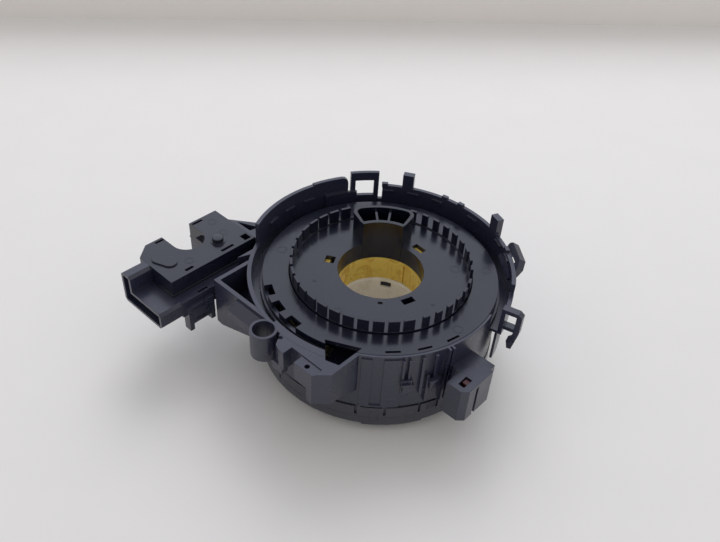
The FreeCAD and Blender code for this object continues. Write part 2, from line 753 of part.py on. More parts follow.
def front_wall_details():
    """Raised panel, catches, tongues and ribs on the can's open front."""
    radius = D["can_radius"]
    inside = radius - 0.4
    seam = D["seam_z"]
    features = [
        sector("front_panel", inside, radius + 0.5, (seam, DECK - 1.2), (223.6, 231.5)),
        sector("front_strip", inside, radius + 0.5, (seam, DECK - 1.2), (214.0, 218.6)),
        sector("front_strip_foot", inside, radius + 0.5, (seam, seam + 1), (218.0, 224.0)),
        sector("front_rib", inside, radius + 0.8, (seam, DECK - 17), (200.4, 201.8)),
    ]
    for azimuth, width, reach, low, high in (
        (231.9, 0.9, 1.6, 10.8, 1.2),
        (234.6, 0.9, 1.6, 10.8, 1.2),
        (233.6, 4.2, 2.2, 14.0, 10.6),
        (235.2, 3.6, 1.6, 18.0, 14.0),
        (240.6, 1.2, 1.3, 20.0, 1.0),
        (246.6, 1.2, 1.3, 17.6, 1.0),
        (247.0, 4.6, 2.0, 18.0, 13.2),
        (243.4, 1.0, 1.5, 25.0, 10.4),
    ):
        z = (DECK - low, DECK - high)
        features.append(radial_box("catch", azimuth, (inside, radius + reach), width, z))
    for top_az, shift in ((252.5, 0.0), (254.4, 0.0)):
        rib = [(shift - 0.4, DECK), (shift + 0.5, DECK), (shift - 0.5, seam), (shift - 1.4, seam)]
        features.append(facing_plate("box_rib", rib, (inside, radius + 1.6), top_az))
    return features


def frame_and_tube():
    """The open frame beside the arm and the screw tube at its foot."""
    wall = D["rib_wall"]
    low = drop("frame_drop")
    left, back = -beyond("frame_left"), beyond("frame_back")
    reach = -(D["can_radius"] / 2)
    lower = D["tube_y"] + 2.5
    side = new_body("frame_side")
    outline = [
        (lower, DECK - 9),
        (lower, DECK),
        (back, DECK),
        (back, low - 7),
        (back - 3, low - 7.5),
        (lower + 6, DECK - 15),
    ]
    pad_on(side, "YZ_Plane", outline, wall, left)
    bar = new_body("frame_bar")
    bar_y = lower + 1.5
    profile = [
        (left - 4.6, DECK - 8),
        (left - 4.6, DECK - 4),
        (left - 0.8, DECK - 1.2),
        (left, DECK - 1.2),
        (left, DECK - 8),
    ]
    pad = pad_on(bar, "XZ_Plane", profile, back - 14 - bar_y, -(back - 14))
    pad.Reversed = False
    features = [
        box("frame_back_wall", (left, reach), (back - wall, back), (low, DECK)),
        box("frame_floor", (left, reach), (back - 18, back), (low, low + wall)),
        side,
        bar,
    ]
    tube = rod("tube_wall", D["tube_radius"], (drop("tube_drop"), DECK), -beyond("tube_x"), D["tube_y"])
    web = prism(
        "tube_web",
        [
            (-beyond("tube_x"), D["tube_y"] - 2.5),
            (1 - D["can_radius"], D["tube_y"] - 4),
            (1 - D["can_radius"], D["tube_y"] + 6),
            (-beyond("tube_x"), D["tube_y"] + 3),
        ],
        (drop("tube_drop"), DECK - 0.5),
    )
    return features + [tube, web]


def tube_bore(name):
    return rod(
        name, D["tube_bore"], (drop("tube_drop") - 1, DECK + 1), -beyond("tube_x"), D["tube_y"]
    )


def housing_body(name):
    """The space that the can, its skirt and its collar take, for cutting their neighbours."""
    base = drop("collar_base_drop")
    turn = (D["collar_from"], D["collar_to"])
    skirt = drop("skirt_drop")
    return [
        rod(name + "_can", D["can_radius"], (0.0, DECK + 20)),
        sector(name + "_skirt", D["can_radius"] - 1, beyond("skirt_radius"), (skirt, base), turn),
        sector(name + "_collar", D["can_radius"] - 1, beyond("collar_radius"), (base, DECK + 20), turn),
    ]


def side_frame():
    """The frame with the screw tube and the walls that carry the arm."""
    solid = fuse("side_solid", frame_and_tube() + [arm_bridge()])
    piece("side_frame", cut("side_cut", solid, housing_body("side") + [tube_bore("tube_bore")]))


def front_bracket():
    """The bracket with the deep pocket at the front left."""
    left, front = -beyond("bracket_left"), D["bracket_front"]
    wall = D["bracket_wall"]
    low = drop("bracket_drop")
    plate = prism(
        "bracket_plate",
        [
            (left + 1.1, -1.9),
            (left, -4.5),
            (left, front + 5),
            (left + 5, front),
            (left + 20, front),
            (left + 14, -12.5),
            (left + 12.5, 1.2),
            (left + 6, 1.2),
        ],
        (low, DECK),
    )
    column = prism(
        "bracket_column",
        [
            (left, front + 7.5), (left, front + 5), (left + 5, front),
            (left + 8, front), (left + 8, front + 7.5),
        ],
        (drop("corner_drop"), DECK),
    )
    post = box("bracket_post", (left, left + 3), (-6.0, -0.9), (low - 3, low + 1))
    gusset = upright_plate(
        "bracket_gusset",
        [
            (left + 6, low - 6), (left + 6, DECK), (left + 20, DECK),
            (left + 20, low - 10), (left + 17, low - 9),
        ],
        wall,
    )
    bind(gusset, "Placement.Base.y", front + wall / 2)
    notch = box("bracket_notch", (left - 1, left + 4.3), (-12.5, -7.0), (low - 1, DECK + 1))
    strip = box("bracket_strip_step", (left - 1, left + 4.3), (front + 4, -12.4), (DECK - 0.4, DECK + 1))
    pin_hole = rod("bracket_hole", 1.0, (DECK - 4, DECK + 1), left + 2.0, -17.3)
    mark_hole = rod("bracket_mark_hole", 0.9, (DECK - 0.8, DECK + 1), left + 4.5, -0.6)
    solid = fuse("bracket_solid", [plate, column, post, gusset])
    tools = housing_body("bracket") + [notch, strip, pin_hole, mark_hole]
    tools.append(deep_pocket("bracket_pocket", 20.0))
    piece("front_bracket", cut("bracket", solid, tools))


def deep_pocket(name, depth):
    """The deep opening between the cover disc and the bracket's walls."""
    front = D["bracket_front"] + D["bracket_wall"]
    left = -beyond("bracket_left")
    outline = [(left + 8.5, -19.8), (left + 10.2, front), (left + 22, front), (left + 15.6, -12.5)]
    return prism(name, outline, (DECK - depth, DECK + 1))


def plug_box():
    """The downward socket at the front right, with the window of its red lock."""
    x = (D["box_left"], D["box_right"])
    y = (-beyond("box_front"), -beyond("box_back"))
    z = (drop("box_low_drop"), drop("box_top_drop"))
    wall = D["box_wall"]
    bevel = wall * 1.6
    shell = prism(
        "plug_shell",
        [
            (x[0], y[0] + bevel),
            (x[0] + bevel, y[0]),
            (x[1] - 3, y[0]),
            (x[1] - 3, y[0] + wall),
            (x[1], y[0] + wall),
            (x[1], y[1]),
            (x[0], y[1]),
        ],
        z,
    )
    bridge = box("plug_bridge", (x[1] - D["box_bridge"], x[1]), (y[1] - wall, y[1] + 4.6), (z[0] + 2, z[1]))
    cavity = box(
        "plug_cavity",
        (x[0] + wall, x[1] - wall),
        (y[0] + wall * 1.5, y[1] - wall),
        (z[0] - 1, z[1] - 5.2),
    )
    window = box(
        "lock_window",
        (D["lock_left"], D["lock_right"]),
        (-beyond("lock_front"), -beyond("lock_back")),
        (z[1] - 3.6, z[1] + 1),
    )
    groove = box("plug_groove", (x[0] + 6.6, x[0] + 8.2), (y[0] - 1, y[0] + 0.7), (z[0] - 1, z[1] - 1.5))
    tools = [cavity, window, groove, rod("plug_can", D["can_radius"], (z[0] - 1, z[1] + 1))]
    piece("plug_box", cut("plug_cut", fuse("plug_solid", [shell, bridge]), tools))


def arm_bridge():
    """The walls that carry the arm's tray from the collar."""
    low = drop("tray_drop")
    right = D["arm_right"] + 8
    block = prism(
        "bridge_block",
        [
            (D["arm_right"] - 14, beyond("tray_front")),
            (D["arm_right"] + 3, D["can_radius"] * 0.8),
            (right, D["can_radius"]),
            (right + 1, beyond("plate_front") + 5),
            (D["arm_right"], beyond("plate_back") - 9),
            (D["arm_right"], beyond("tray_front")),
        ],
        (low, DECK),
    )
    hollow = prism(
        "bridge_hollow",
        [
            (right - 2, beyond("plate_front") + 4),
            (D["arm_right"] + 1.6, beyond("plate_back") - 13),
            (D["arm_right"] + 1.6, beyond("plate_front") + 5),
        ],
        (DECK - 6, DECK + 1),
    )
    return cut("arm_bridge", block, [hollow])


def outer_housing():
    """The can's wall with the details on its open front, and the pocket's floor inside it."""
    wall = ring("can", CAN_INNER, D["can_radius"], (D["seam_z"], DECK))
    solid = fuse("housing_solid", front_wall_details() + [wall])
    room = rod("housing_room", CAN_INNER, (D["seam_z"] - 1, DECK + 20))
    turn = (D["collar_from"], D["collar_to"])
    channel = sector("channel_top", CAN_INNER - 1, CHANNEL, (drop("channel_step"), DECK + 20), turn)
    tools = [room, channel, deep_pocket("housing_pocket", D["pocket_drop"])]
    piece("outer_housing", cut("housing", solid, tools))
    seat_z = drop("cover_thick") - D["cover_skirt"]
    radii = (CAN_INNER - 1.8, CAN_INNER - D["moulding_seam"])
    seat = ring("cover_seat_ring", *radii, (seat_z - D["floor_wall"], seat_z))
    piece("cover_seat", cut("cover_seat_cut", seat, [deep_pocket("seat_pocket", D["pocket_drop"])]))
    shelf_z = drop("pocket_drop")
    radii = (D["drum_radius"] + D["running_gap"], CAN_INNER - D["moulding_seam"])
    shelf = sector("shelf", *radii, (shelf_z - D["pocket_floor"], shelf_z), (196.0, 219.0))
    piece("pocket_shelf", shelf)


def channel_and_skirt():
    """The floor between the can and the collar, and the skirt under it."""
    turn = (D["collar_from"], D["collar_to"])
    base = drop("collar_base_drop")
    radii = (D["can_radius"] + D["moulding_seam"], beyond("collar_radius"))
    floor = sector("channel_blank", *radii, (base, SHELF), turn)
    tools = [deep_pocket("floor_pocket", D["pocket_drop"]), tube_bore("floor_tube_bore")]
    piece("channel_floor", cut("channel_cut", floor, tools))
    outer = beyond("skirt_radius")
    skirt = sector("skirt", outer - D["can_wall"], outer, (drop("skirt_drop"), base), turn)
    piece("collar_skirt", cut("skirt_cut", skirt, [deep_pocket("skirt_pocket", D["pocket_drop"])]))


# Cover disc
def cover_disc():
    """The fixed disc round the code ring, with rim slots and notches."""
    outer = CAN_INNER - D["cover_gap"]
    low = drop("cover_thick")
    skirt = low - D["cover_skirt"]
    body = new_body("cover")
    revolve(
        body,
        [
            (COVER_INNER, low - 1.5),
            (COVER_INNER, DECK),
            (outer, DECK),
            (outer, skirt),
            (outer - D["cover_skirt_wall"], skirt),
            (outer - D["cover_skirt_wall"], low),
            (COVER_INNER + 1.2, low),
            (COVER_INNER + 1.2, low - 1.5),
        ],
    )
    slot = turned_block(
        CAN_INNER - D["cover_slot_radius"], D["cover_slot_az"], D["cover_slot_length"], D["cover_slot_width"]
    )
    pocket = pocket_on(body, [slot], (low - 0.5, DECK))
    repeat_round(body, pocket, D["cover_slot_pitch"], D["cover_slot_count"])
    depth = D["notch_depth"] + 1
    notch = turned_block(outer + 1 - depth / 2, D["notch_az"], D["notch_length"], depth)
    pocket = pocket_on(body, [notch], (skirt - 0.5, DECK))
    repeat_round(body, pocket, D["notch_pitch"], D["notch_count"])
    piece("cover_disc", cut("cover_cut", body, [deep_pocket("cover_pocket", 20.0)]))


# Rotor disc
def rotor_disc():
    """The turning disc with its windows and the sleeve in the bore."""
    low = drop("rotor_thick")
    bore, sleeve = D["bore_radius"], D["bore_radius"] + D["cam_wall"]
    foot = drop("cam_drop")
    body = new_body("rotor")
    revolve(
        body,
        [
            (bore, foot),
            (bore, DECK),
            (CODE_INNER - D["moulding_seam"], DECK),
            (CODE_INNER - D["moulding_seam"], low),
            (sleeve, low),
            (sleeve, foot),
        ],
    )
    windows = [
        turned_block(bore + 3.9, 119.0, 4.2, 4.0),
        turned_block(bore + 4.4, 355.0, 5.6, 3.0),
        turned_block(bore + 3.3, 252.5, 5.2, 2.9),
    ]
    pocket_on(body, windows, (low - 0.2, DECK))
    dimple = turned_block(bore + 2.6, 221.2, 1.8, 1.2)
    pocket_on(body, [dimple], (DECK - 0.8, DECK))
    seam = D["cam_seam"]
    span = (D["cam_from"] - seam * 3, D["cam_to"] + seam * 3)
    room = sector("cam_room", bore - 1, sleeve + seam, (foot - 1, DECK + 1), span)
    piece("rotor_disc", cut("rotor_cut", body, [room]))


def code_ring():
    """The ring of teeth on the turning disc's edge."""
    rim, outer = rise("code_rim_rise"), D["rotor_radius"]
    body = new_body("code_ring_body")
    low = drop("rotor_thick")
    revolve(body, [(CODE_INNER, low), (CODE_INNER, rim), (outer, rim), (outer, low)])
    sunk = 0.4
    for azimuth, count, angle in (
        (D["wide_first_az"], D["wide_count"], D["wide_tooth"]),
        (D["narrow_first_az"], D["narrow_count"], D["narrow_tooth"]),
        (D["fine_first_az"], D["fine_count"], D["narrow_tooth"]),
    ):
        outline = sector_outline(CODE_INNER, outer - 0.02, azimuth, angle)
        length = D["code_rise"] - D["code_rim_rise"] + sunk
        tooth = pad_on(body, "XY_Plane", outline, length, rim - sunk)
        repeat_round(body, tooth, D["code_pitch"], count)
    piece("code_ring", body)


def rotor_drum():
    """The drum that the flat cable winds on, between the lower plate and the disc."""
    outer = D["drum_radius"]
    z = (PLATE_TOP, drop("rotor_thick"))
    piece("rotor_drum", ring("drum", outer - D["drum_wall"], outer, z))


# Cancel cam
def cancel_cam():
    """The hollow lobe that cancels the indicators, and its root in the bore."""
    inner, outer = D["bore_radius"], D["cam_radius"]
    ends = (D["cam_from"], D["cam_to"])
    top = rise("cam_rise")
    wall = D["cam_rib"] * 1.4
    root = sector("cam_root", inner, CAM_SLEEVE, (drop("cam_drop"), DECK), ends)
    lobe = rounded_sector("cam_lobe", inner, outer, (DECK, top), ends, D["cam_round"])
    lip = sector("cam_lip", inner, CAM_SLEEVE, (DECK, rise("cam_lip_rise")), ends)
    side = 3.34
    hollow = rounded_sector(
        "cam_hollow",
        CAM_SLEEVE,
        outer - wall,
        (DECK + 1.2, top + 1),
        (ends[0] + side, ends[1] - side),
        D["cam_round"] - wall,
    )
    ribs = []
    for index in steps(D["cam_rib_count"]):
        azimuth = D["cam_rib_first"] + D["cam_rib_pitch"] * index
        radii = (CAM_SLEEVE - 0.3, outer - wall + 0.3)
        z = (DECK + 1.0, top - 1.2)
        ribs.append(radial_box("cam_inner_rib", azimuth, radii, D["cam_rib"], z))
    shell = cut("cam_shell", fuse("cam_solid", [root, lobe, lip]), [hollow])
    piece("cancel_cam", fuse("cam", [shell] + ribs))


# Amber hub sleeve
def hub_sleeve():
    """The amber sleeve in the bore, with a shoulder and two tabs under the disc."""
    inner = D["bore_radius"] - D["hub_gap"]
    outer = inner + D["hub_wall"]
    wall = D["hub_clip_wall"]
    shoulder = CAM_SLEEVE + D["cam_seam"]
    top, low = drop("cam_drop"), drop("hub_drop")
    disc_low = drop("rotor_thick")
    ring_top = disc_low - D["hub_ring_drop"]
    body = new_body("hub")
    revolve(
        body,
        [
            (inner, low),
            (inner, top),
            (shoulder, top),
            (shoulder, ring_top),
            (shoulder + wall, ring_top),
            (shoulder + wall, top - wall),
            (outer, top - wall),
            (outer, low),
        ],
    )
    features = [body]
    end = shoulder + D["hub_tab_reach"]
    half = D["hub_tab_angle"] / 2
    for name, start in (("hub_tab_one_az", 2.3), ("hub_tab_two_az", 0.9)):
        span = (D[name] - half, D[name] + half)
        top_z = (disc_low - wall, disc_low)
        features.append(sector("hub_tab_top", shoulder + start, end, top_z, span))
        features.append(sector("hub_tab_side", end - wall, end, (ring_top - wall, disc_low - 0.5), span))
        features.append(sector("hub_tab_foot", shoulder + 0.2, end, (ring_top - wall, ring_top), span))
    radii = (inner - 1, inner + D["hub_wall"] / 2)
    slit = radial_box("hub_slit", D["hub_slit_az"], radii, D["hub_slit_wide"], (low - 1, top - 1.2))
    piece("hub_sleeve", cut("hub_cut", fuse("hub_joined", features), [slit]))


# Base ring
def base_ring():
    """The natural-coloured ring below the amber sleeve, down to the feet, with a lug on it."""
    outer = BASE_INNER + D["base_wall"]
    top = drop("hub_drop")
    body = new_body("base_ring_body")
    revolve(
        body,
        [
            (BASE_INNER, 0.0),
            (BASE_INNER, top - 1.2),
            (BASE_INNER + 0.6, top),
            (outer, top),
            (outer, 0.0),
        ],
    )
    lug = sector("base_lug", BASE_INNER, BASE_INNER + 0.8, (top - 1.6, top - 0.2), (21.0, 38.0))
    high = top - 2
    recess = radial_box(
        "base_recess",
        D["base_recess_az"],
        (BASE_INNER - 1, BASE_INNER + D["base_recess_deep"]),
        D["base_recess_wide"],
        (high - D["base_recess_tall"], high),
    )
    piece("base_ring", cut("base_cut", fuse("base_joined", [body, lug]), [recess]))


# Rotor base
def rotor_base():
    """The rotor's lower plate with its socket seats and two driving pegs."""
    inner = BASE_INNER + D["base_wall"] + D["moulding_seam"]
    low = D["lid_z"]
    plate = ring("base_plate", inner, D["base_plate_radius"], (low, PLATE_TOP))
    pegs = []
    for index in range(2):
        x, y = polar(D["peg_middle"], D["peg_az"] + 180 * index)
        pegs.append(rod("driving_peg", D["peg_radius"], (0.0, low + 0.5), x, y))
    seats = [
        prism(
            "socket_seat",
            turned_block(D["socket_middle"], D[az], D[long], D[deep]),
            (low - 1, PLATE_TOP + 1),
        )
        for az, long, deep in (
            ("airbag_az", "airbag_long", "airbag_deep"),
            ("switch_az", "switch_long", "switch_deep"),
        )
    ]
    piece("rotor_base", cut("rotor_base_cut", fuse("rotor_base_solid", [plate] + pegs), seats))


def socket(name, az, long, deep, pins):
    """A socket that opens downwards, seated in the rotor base, and its pins."""
    azimuth, length, depth = D[az], D[long], D[deep]
    wall = D["socket_wall"]
    high = PLATE_TOP
    outside = turned_block(D["socket_middle"], azimuth, length, depth)
    inside = turned_block(D["socket_middle"], azimuth, length - wall * 2, depth - wall * 2)
    shell = prism(name + "_shell", outside, (0.0, high))
    cavity = prism(name + "_cavity", inside, (-1.0, high - wall))
    piece(name, cut(name + "_cut", shell, [cavity]))
    blades = []
    pin_row = D["socket_middle"] + depth / 2 - wall - 1.6
    pitch = (length - wall * 4) / pins
    for index in range(pins):
        shift = pitch * (index - (pins - 1) / 2)
        blades.append(
            radial_box(
                name + "_pin",
                azimuth,
                (pin_row - 0.4, pin_row + 0.4),
                D["pin_size"],
                (1.5, high - wall),
                shift,
            )
        )
    group = DOC.addObject("Part::Compound", name + "_pins")
    group.Links = blades
    piece(name.replace("_socket", "_terminals"), group)


# Lower lid
def lower_lid():
    """The ring that closes the cable chamber from below, with slots along its seam."""
    low = D["lid_z"]
    floor = low + D["lid_floor"]
    seam = D["seam_z"]
    outer = beyond("lid_radius")
    opening = D["base_plate_radius"] + D["running_gap"]
    inside = CAN_INNER - 1.3
    piece("lower_lid", ring("lid_floor_ring", opening, inside - D["moulding_seam"], (low, floor)))
    lip_top = floor + D["lid_lip_rise"]
    piece("lid_lip", ring("lid_lip_ring", opening, opening + 1.2, (floor, lip_top)))
    body = new_body("lid")
    revolve(
        body,
        [
            (inside, low),
            (inside, seam + 2.5),
            (CAN_INNER - 0.1, seam + 2.5),
            (CAN_INNER - 0.1, seam),
            (outer, seam),
            (outer, low),
        ],
    )
    tools = []
    for start, end in ((161.0, 167.0), (174.0, 190.5), (200.0, 212.5), (215.0, 225.0), (227.0, 250.5)):
        tools.append(
            sector(
                "seam_slot",
                outer - D["lid_wall"] * 0.8,
                outer + 1,
                (seam - D["lid_slot_tall"], seam + 1),
                (start, end),
            )
        )
    for azimuth in (213.0, 226.0, 242.0, 251.0):
        tools.append(
            radial_box(
                "seam_slit",
                azimuth,
                (outer - D["lid_wall"] * 0.8, outer + 1),
                D["lid_slit_wide"],
                (seam - D["lid_slit_tall"], seam + 1),
            )
        )
    span = (216.0, 244.0)
    pad = sector("lid_pad", inside, outer, (low - 0.7, low + 0.2), span)
    piece("lid_rim", cut("lid_cut", fuse("lid_solid", [body, pad]), tools))


# Flat cable
def spiral_edges(inner, growth, halves):
    """Half-turn arcs whose radius grows by the same step and whose centres alternate."""
    edges = []
    for index in range(halves):
        side = 1 if index % 2 else -1
        centre = side * growth / 2
        radius = inner + growth * (index + 0.5)
        points = []
        for quarter in range(3):
            angle = math.pi * (index + quarter / 2)
            points.append(
                FreeCAD.Vector(centre + radius * math.cos(angle), radius * math.sin(angle), 0)
            )
        edges.append(Part.Arc(*points).toShape())
    return edges


def flat_cable():
    """The wound flat cable: a spiral strip in the chamber between drum and can."""
    halves = 2 * int(D["tape_turns"].value)
    inner, thick = TAPE_INNER.value, D["tape_thick"].value
    growth = (TAPE_OUTER.value - inner) / halves
    inside = spiral_edges(inner, growth, halves)
    outside = spiral_edges(inner + thick, growth, halves)
    start, end = inside[0].valueAt(inside[0].FirstParameter), inside[-1].valueAt(inside[-1].LastParameter)
    start_back = outside[0].valueAt(outside[0].FirstParameter)
    end_back = outside[-1].valueAt(outside[-1].LastParameter)
    sides = [Part.makeLine(start, start_back), Part.makeLine(end, end_back)]
    outline = Part.Wire(Part.sortEdges(inside + outside + sides)[0])
    strip = DOC.addObject("Part::Feature", "tape")
    strip.Shape = Part.Face(outline).extrude(FreeCAD.Vector(0, 0, (TAPE_HIGH - TAPE_LOW).value))
    bind(strip, "Placement.Base.z", TAPE_LOW)
    piece("flat_cable", strip)


def slip_film():
    """The thin film on the lid's floor that the flat cable slides on."""
    floor = D["lid_z"] + D["lid_floor"]
    inner = D["base_plate_radius"] + D["running_gap"] + 1.3
    piece("slip_film", ring("film", inner, CAN_INNER - 1.4, (floor, floor + D["film_thick"])))


def cable_blocks():
    """The blocks that hold the flat cable's ends: one on the rotor's drum, one on the can."""
    low = TAPE_LOW + D["lid_lip_rise"] + 1
    z = (low, low + (TAPE_HIGH - TAPE_LOW) - D["lid_lip_rise"] - 2)
    ends = (D["block_az"], D["block_az"] + D["block_angle"])
    inner = (D["drum_radius"], TAPE_INNER - D["tape_gap"])
    outer = (TAPE_OUTER + D["tape_thick"] + D["tape_gap"], CAN_INNER - 1.8)
    piece("inner_cable_block", sector("block_inner", inner[0], inner[1], z, ends))
    piece("outer_cable_block", sector("block_outer", outer[0], outer[1], z, ends))


# Arm with its connector
def arm_cover():
    """The flat cover plate on the arm, with its round bay, bosses and slots."""
    left, right = -beyond("arm_left"), D["arm_right"]
    front, back = beyond("plate_front"), beyond("plate_back")
    low = drop("plate_drop")
    solids = []
    for name, wide, high in (("plate_block", 0.0, DECK), ("plate_bead", 0.5, low + 0.8)):
        outline = [
            (left - wide, front - wide),
            (right, front - wide),
            (right, back + wide),
            (left + 6.2, back + wide),
            (left - wide, back - 5.2),
        ]
        solids.append(prism(name, outline, (low, high)))
    bay = rod("plate_bay", D["bay_radius"], (low - 1, DECK + 1), left + D["bay_middle"], beyond("bay_front"))
    bay_mouth = box(
        "plate_bay_mouth",
        ((left + D["bay_middle"]) - D["bay_radius"], left + D["bay_middle"] + D["bay_radius"]),
        (beyond("bay_front"), back + 1),
        (low - 1, DECK + 1),
    )
    slot_z = (DECK - 1.2, DECK + 1)
    key_room = box("plate_key_room", (left - 1, left), (beyond("key_front"), back), (low - 1, DECK + 1))
    tools = [bay, bay_mouth, key_room]
    for x, y in (
        ((left + 26.6, left + 32.8), (front + 1.6, front + 2.9)),
        ((left + 8.4, left + 12.2), (front + 1.6, front + 2.9)),
        ((left + 9.9, left + 13.8), (back - 2.2, back - 1.1)),
        ((left + 28.9, left + 34.0), (back - 2.2, back - 1.1)),
    ):
        tools.append(box("plate_slot", x, y, slot_z))
    hole = ((right - 4.2, right - 1.0), (front + 1.1, front + 4.8))
    tools.append(box("plate_hole", *hole, (DECK - 3, DECK + 1)))
    boss_x, boss_y = left + 29.8, front + 8.6
    pad = (left + 6, front + 12.9)
    bumps = [
        rod("boss_foot", 3.2, (DECK - 0.5, DECK + 0.3), boss_x, boss_y),
        rod("plate_boss", 2.4, (DECK - 0.5, DECK + 1.8), boss_x, boss_y),
        obround("plate_pad", pad, 11.2, 6.0, (DECK - 0.5, DECK + 0.6), 111.0),
    ]
    edge = (left + D["bay_middle"]) + D["bay_radius"]
    shelf = box(
        "bay_shelf",
        (edge - 1.8, edge + 1),
        (beyond("bay_front") - 3, beyond("bay_front") + 2),
        (DECK - D["bay_depth"] - 1.5, DECK - D["bay_depth"]),
    )
    solid = cut("plate_cut", fuse("plate_solid", solids), tools)
    piece("arm_cover", fuse("plate", [solid, shelf] + bumps))


def arm_tray():
    """The tray under the cover plate and the connector's shroud at its left end."""
    left, right = -beyond("arm_left"), D["arm_right"]
    front = beyond("tray_front")
    low, high = drop("tray_drop"), drop("plate_drop")
    mouth, back = -beyond("shroud_left"), beyond("shroud_back")
    wall = D["shroud_wall"]
    tray = prism(
        "tray_block",
        [
            (left, front),
            (right - 14.2, front),
            (right - 0.2, front + 0.1),
            (right - 0.2, beyond("plate_back")),
            (left + 6.2, beyond("plate_back")),
            (left, beyond("plate_back") - 5.2),
        ],
        (low, high),
    )
    shroud_body = new_body("shroud_block")
    outline = [
        (front, low + wall),
        (front + wall, low),
        (back - wall, low),
        (back, low + wall),
        (back, DECK - wall),
        (back - wall, DECK),
        (beyond("key_front") + wall, DECK),
        (beyond("key_front"), DECK - wall),
        (beyond("key_front"), high),
        (front + wall, high),
        (front, high - wall),
    ]
    pad_on(shroud_body, "YZ_Plane", outline, left - mouth, mouth)
    cavity = box(
        "shroud_cavity", (mouth - 1, left - wall), (front + wall, back - wall), (low + wall, high - wall)
    )
    key_cavity = box(
        "key_cavity",
        (mouth - 1, left - wall),
        (beyond("key_front") + wall, back - wall),
        (low + wall, DECK - wall),
    )
    bay = rod("tray_bay", D["bay_radius"], (low - 1, high + 1), left + D["bay_middle"], beyond("bay_front"))
    bay_mouth = box(
        "tray_bay_mouth",
        ((left + D["bay_middle"]) - D["bay_radius"], left + D["bay_middle"] + D["bay_radius"]),
        (beyond("bay_front"), beyond("plate_back") + 1),
        (low - 1, high + 1),
    )
    latch = [
        box("latch_plate", (left + 1.6, left + 14.3), (front - 1.6, front), (high - 12, high - 3)),
        box("latch_pad", (left + 4.3, left + 10.8), (front - 2.0, front - 1.4), (high - 9, high - 5)),
        box("latch_leg", (left + 1.6, left + 3.6), (front - 1.6, front + 2), (high - 15, high - 3)),
        box("latch_leg", (left + 12.2, left + 14.2), (front - 1.6, front + 2), (high - 15, high - 3)),
    ]
    slot = box("tray_slot", (left + 8.8, left + 13.4), (front + 0.8, front + 1.9), (high - 1.2, high + 1))
    collar_room = rod("tray_collar_room", beyond("collar_radius") + 0.1, (low - 1, high + 1))
    solid = fuse("tray_solid", [tray, shroud_body] + latch)
    tools = [cavity, key_cavity, bay, bay_mouth, slot, collar_room] + connector_pins("pin_hole")
    piece("connector_housing", cut("tray", solid, tools))


def connector_pins(name):
    """The row of square pins in the shroud."""
    middle = (beyond("tray_front") + beyond("key_front")) / 2 + 1
    height = drop("tray_drop") + (D["tray_drop"] - D["plate_drop"]) / 2
    back = -beyond("arm_left") - D["shroud_wall"]
    half = D["pin_size"] / 2
    pins = []
    for index in steps(D["pin_count"]):
        y = middle + D["pin_pitch"] * (index - (D["pin_count"] - 1) / 2)
        x = (back - D["pin_reach"], back + 3)
        pins.append(box(name, x, (y - half, y + half), (height - half, height + half)))
    return pins


def connector_terminals():
    group = DOC.addObject("Part::Compound", "connector_pins")
    group.Links = connector_pins("pin")
    piece("connector_terminals", group)


# Pins and lock of the plug box
def side_terminals():
    """The row of pins that hangs in the plug box."""
    x_from = D["box_left"] + D["box_wall"]
    span = D["box_right"] - D["box_left"] - D["box_wall"] * 2
    y = (-beyond("box_front") + -beyond("box_back")) / 2
    roof = drop("box_top_drop") - 5.2
    half = D["pin_size"] / 2
    pins = []
    for index in steps(D["box_pin_count"]):
        x = x_from + span / D["box_pin_count"] * (index + 0.5)
        pins.append(box("side_pin", (x - half, x + half), (y - half, y + half), (roof - 7, roof)))
    group = DOC.addObject("Part::Compound", "side_pins")
    group.Links = pins
    piece("side_terminals", group)


def lock_slider():
    """The red lock that slides along the plug box's window."""
    gap = D["slide_gap"]
    top = drop("box_top_drop")
    right = D["lock_right"] - gap
    x = (right - D["lock_length"], right)
    y = (-beyond("lock_front") + gap, -beyond("lock_back") - gap)
    piece("lock_slider", box("lock", x, y, (top - 3.6, top - 0.8)))


def check_document():
    """Stops where a feature failed or a piece has no valid solid."""
    for feature in DOC.Objects:
        if "Invalid" in feature.State or "Error" in feature.State:
            raise RuntimeError(f"{feature.Label} did not compute: {feature.State}")
    for feature in PIECES:
        if feature.Shape.isNull() or not feature.Shape.isValid() or not feature.Shape.Solids:
            raise RuntimeError(f"{feature.Label} has no valid solid")


def main():
    outer_housing()
    channel_and_skirt()
    collar_wall()
    side_frame()
    front_bracket()
    plug_box()
    cover_disc()
    lower_lid()
    rotor_disc()
    code_ring()
    rotor_drum()
    cancel_cam()
    hub_sleeve()
    base_ring()
    rotor_base()
    socket("airbag_socket", "airbag_az", "airbag_long", "airbag_deep", 4)
    socket("switch_socket", "switch_az", "switch_long", "switch_deep", 6)
    flat_cable()
    slip_film()
    cable_blocks()
    arm_cover()
    arm_tray()
    connector_terminals()
    side_terminals()
    lock_slider()
    DOC.recompute()
    check_document()
    os.makedirs("parts", exist_ok=True)
    for feature in PIECES:
        feature.Shape.exportStep(f"parts/{feature.Label}.step")


main()
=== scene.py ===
"""A steering clock spring lying face up on a pale table: its finishes, fine moulded details and stage.

Surfaces and details are in millimetres and degrees, and the studio is in metres. All of it is in the
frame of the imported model.
"""

import logging
from dataclasses import dataclass
from enum import Enum

import bmesh
import bpy
import numpy as np
from mathutils import Matrix, Vector


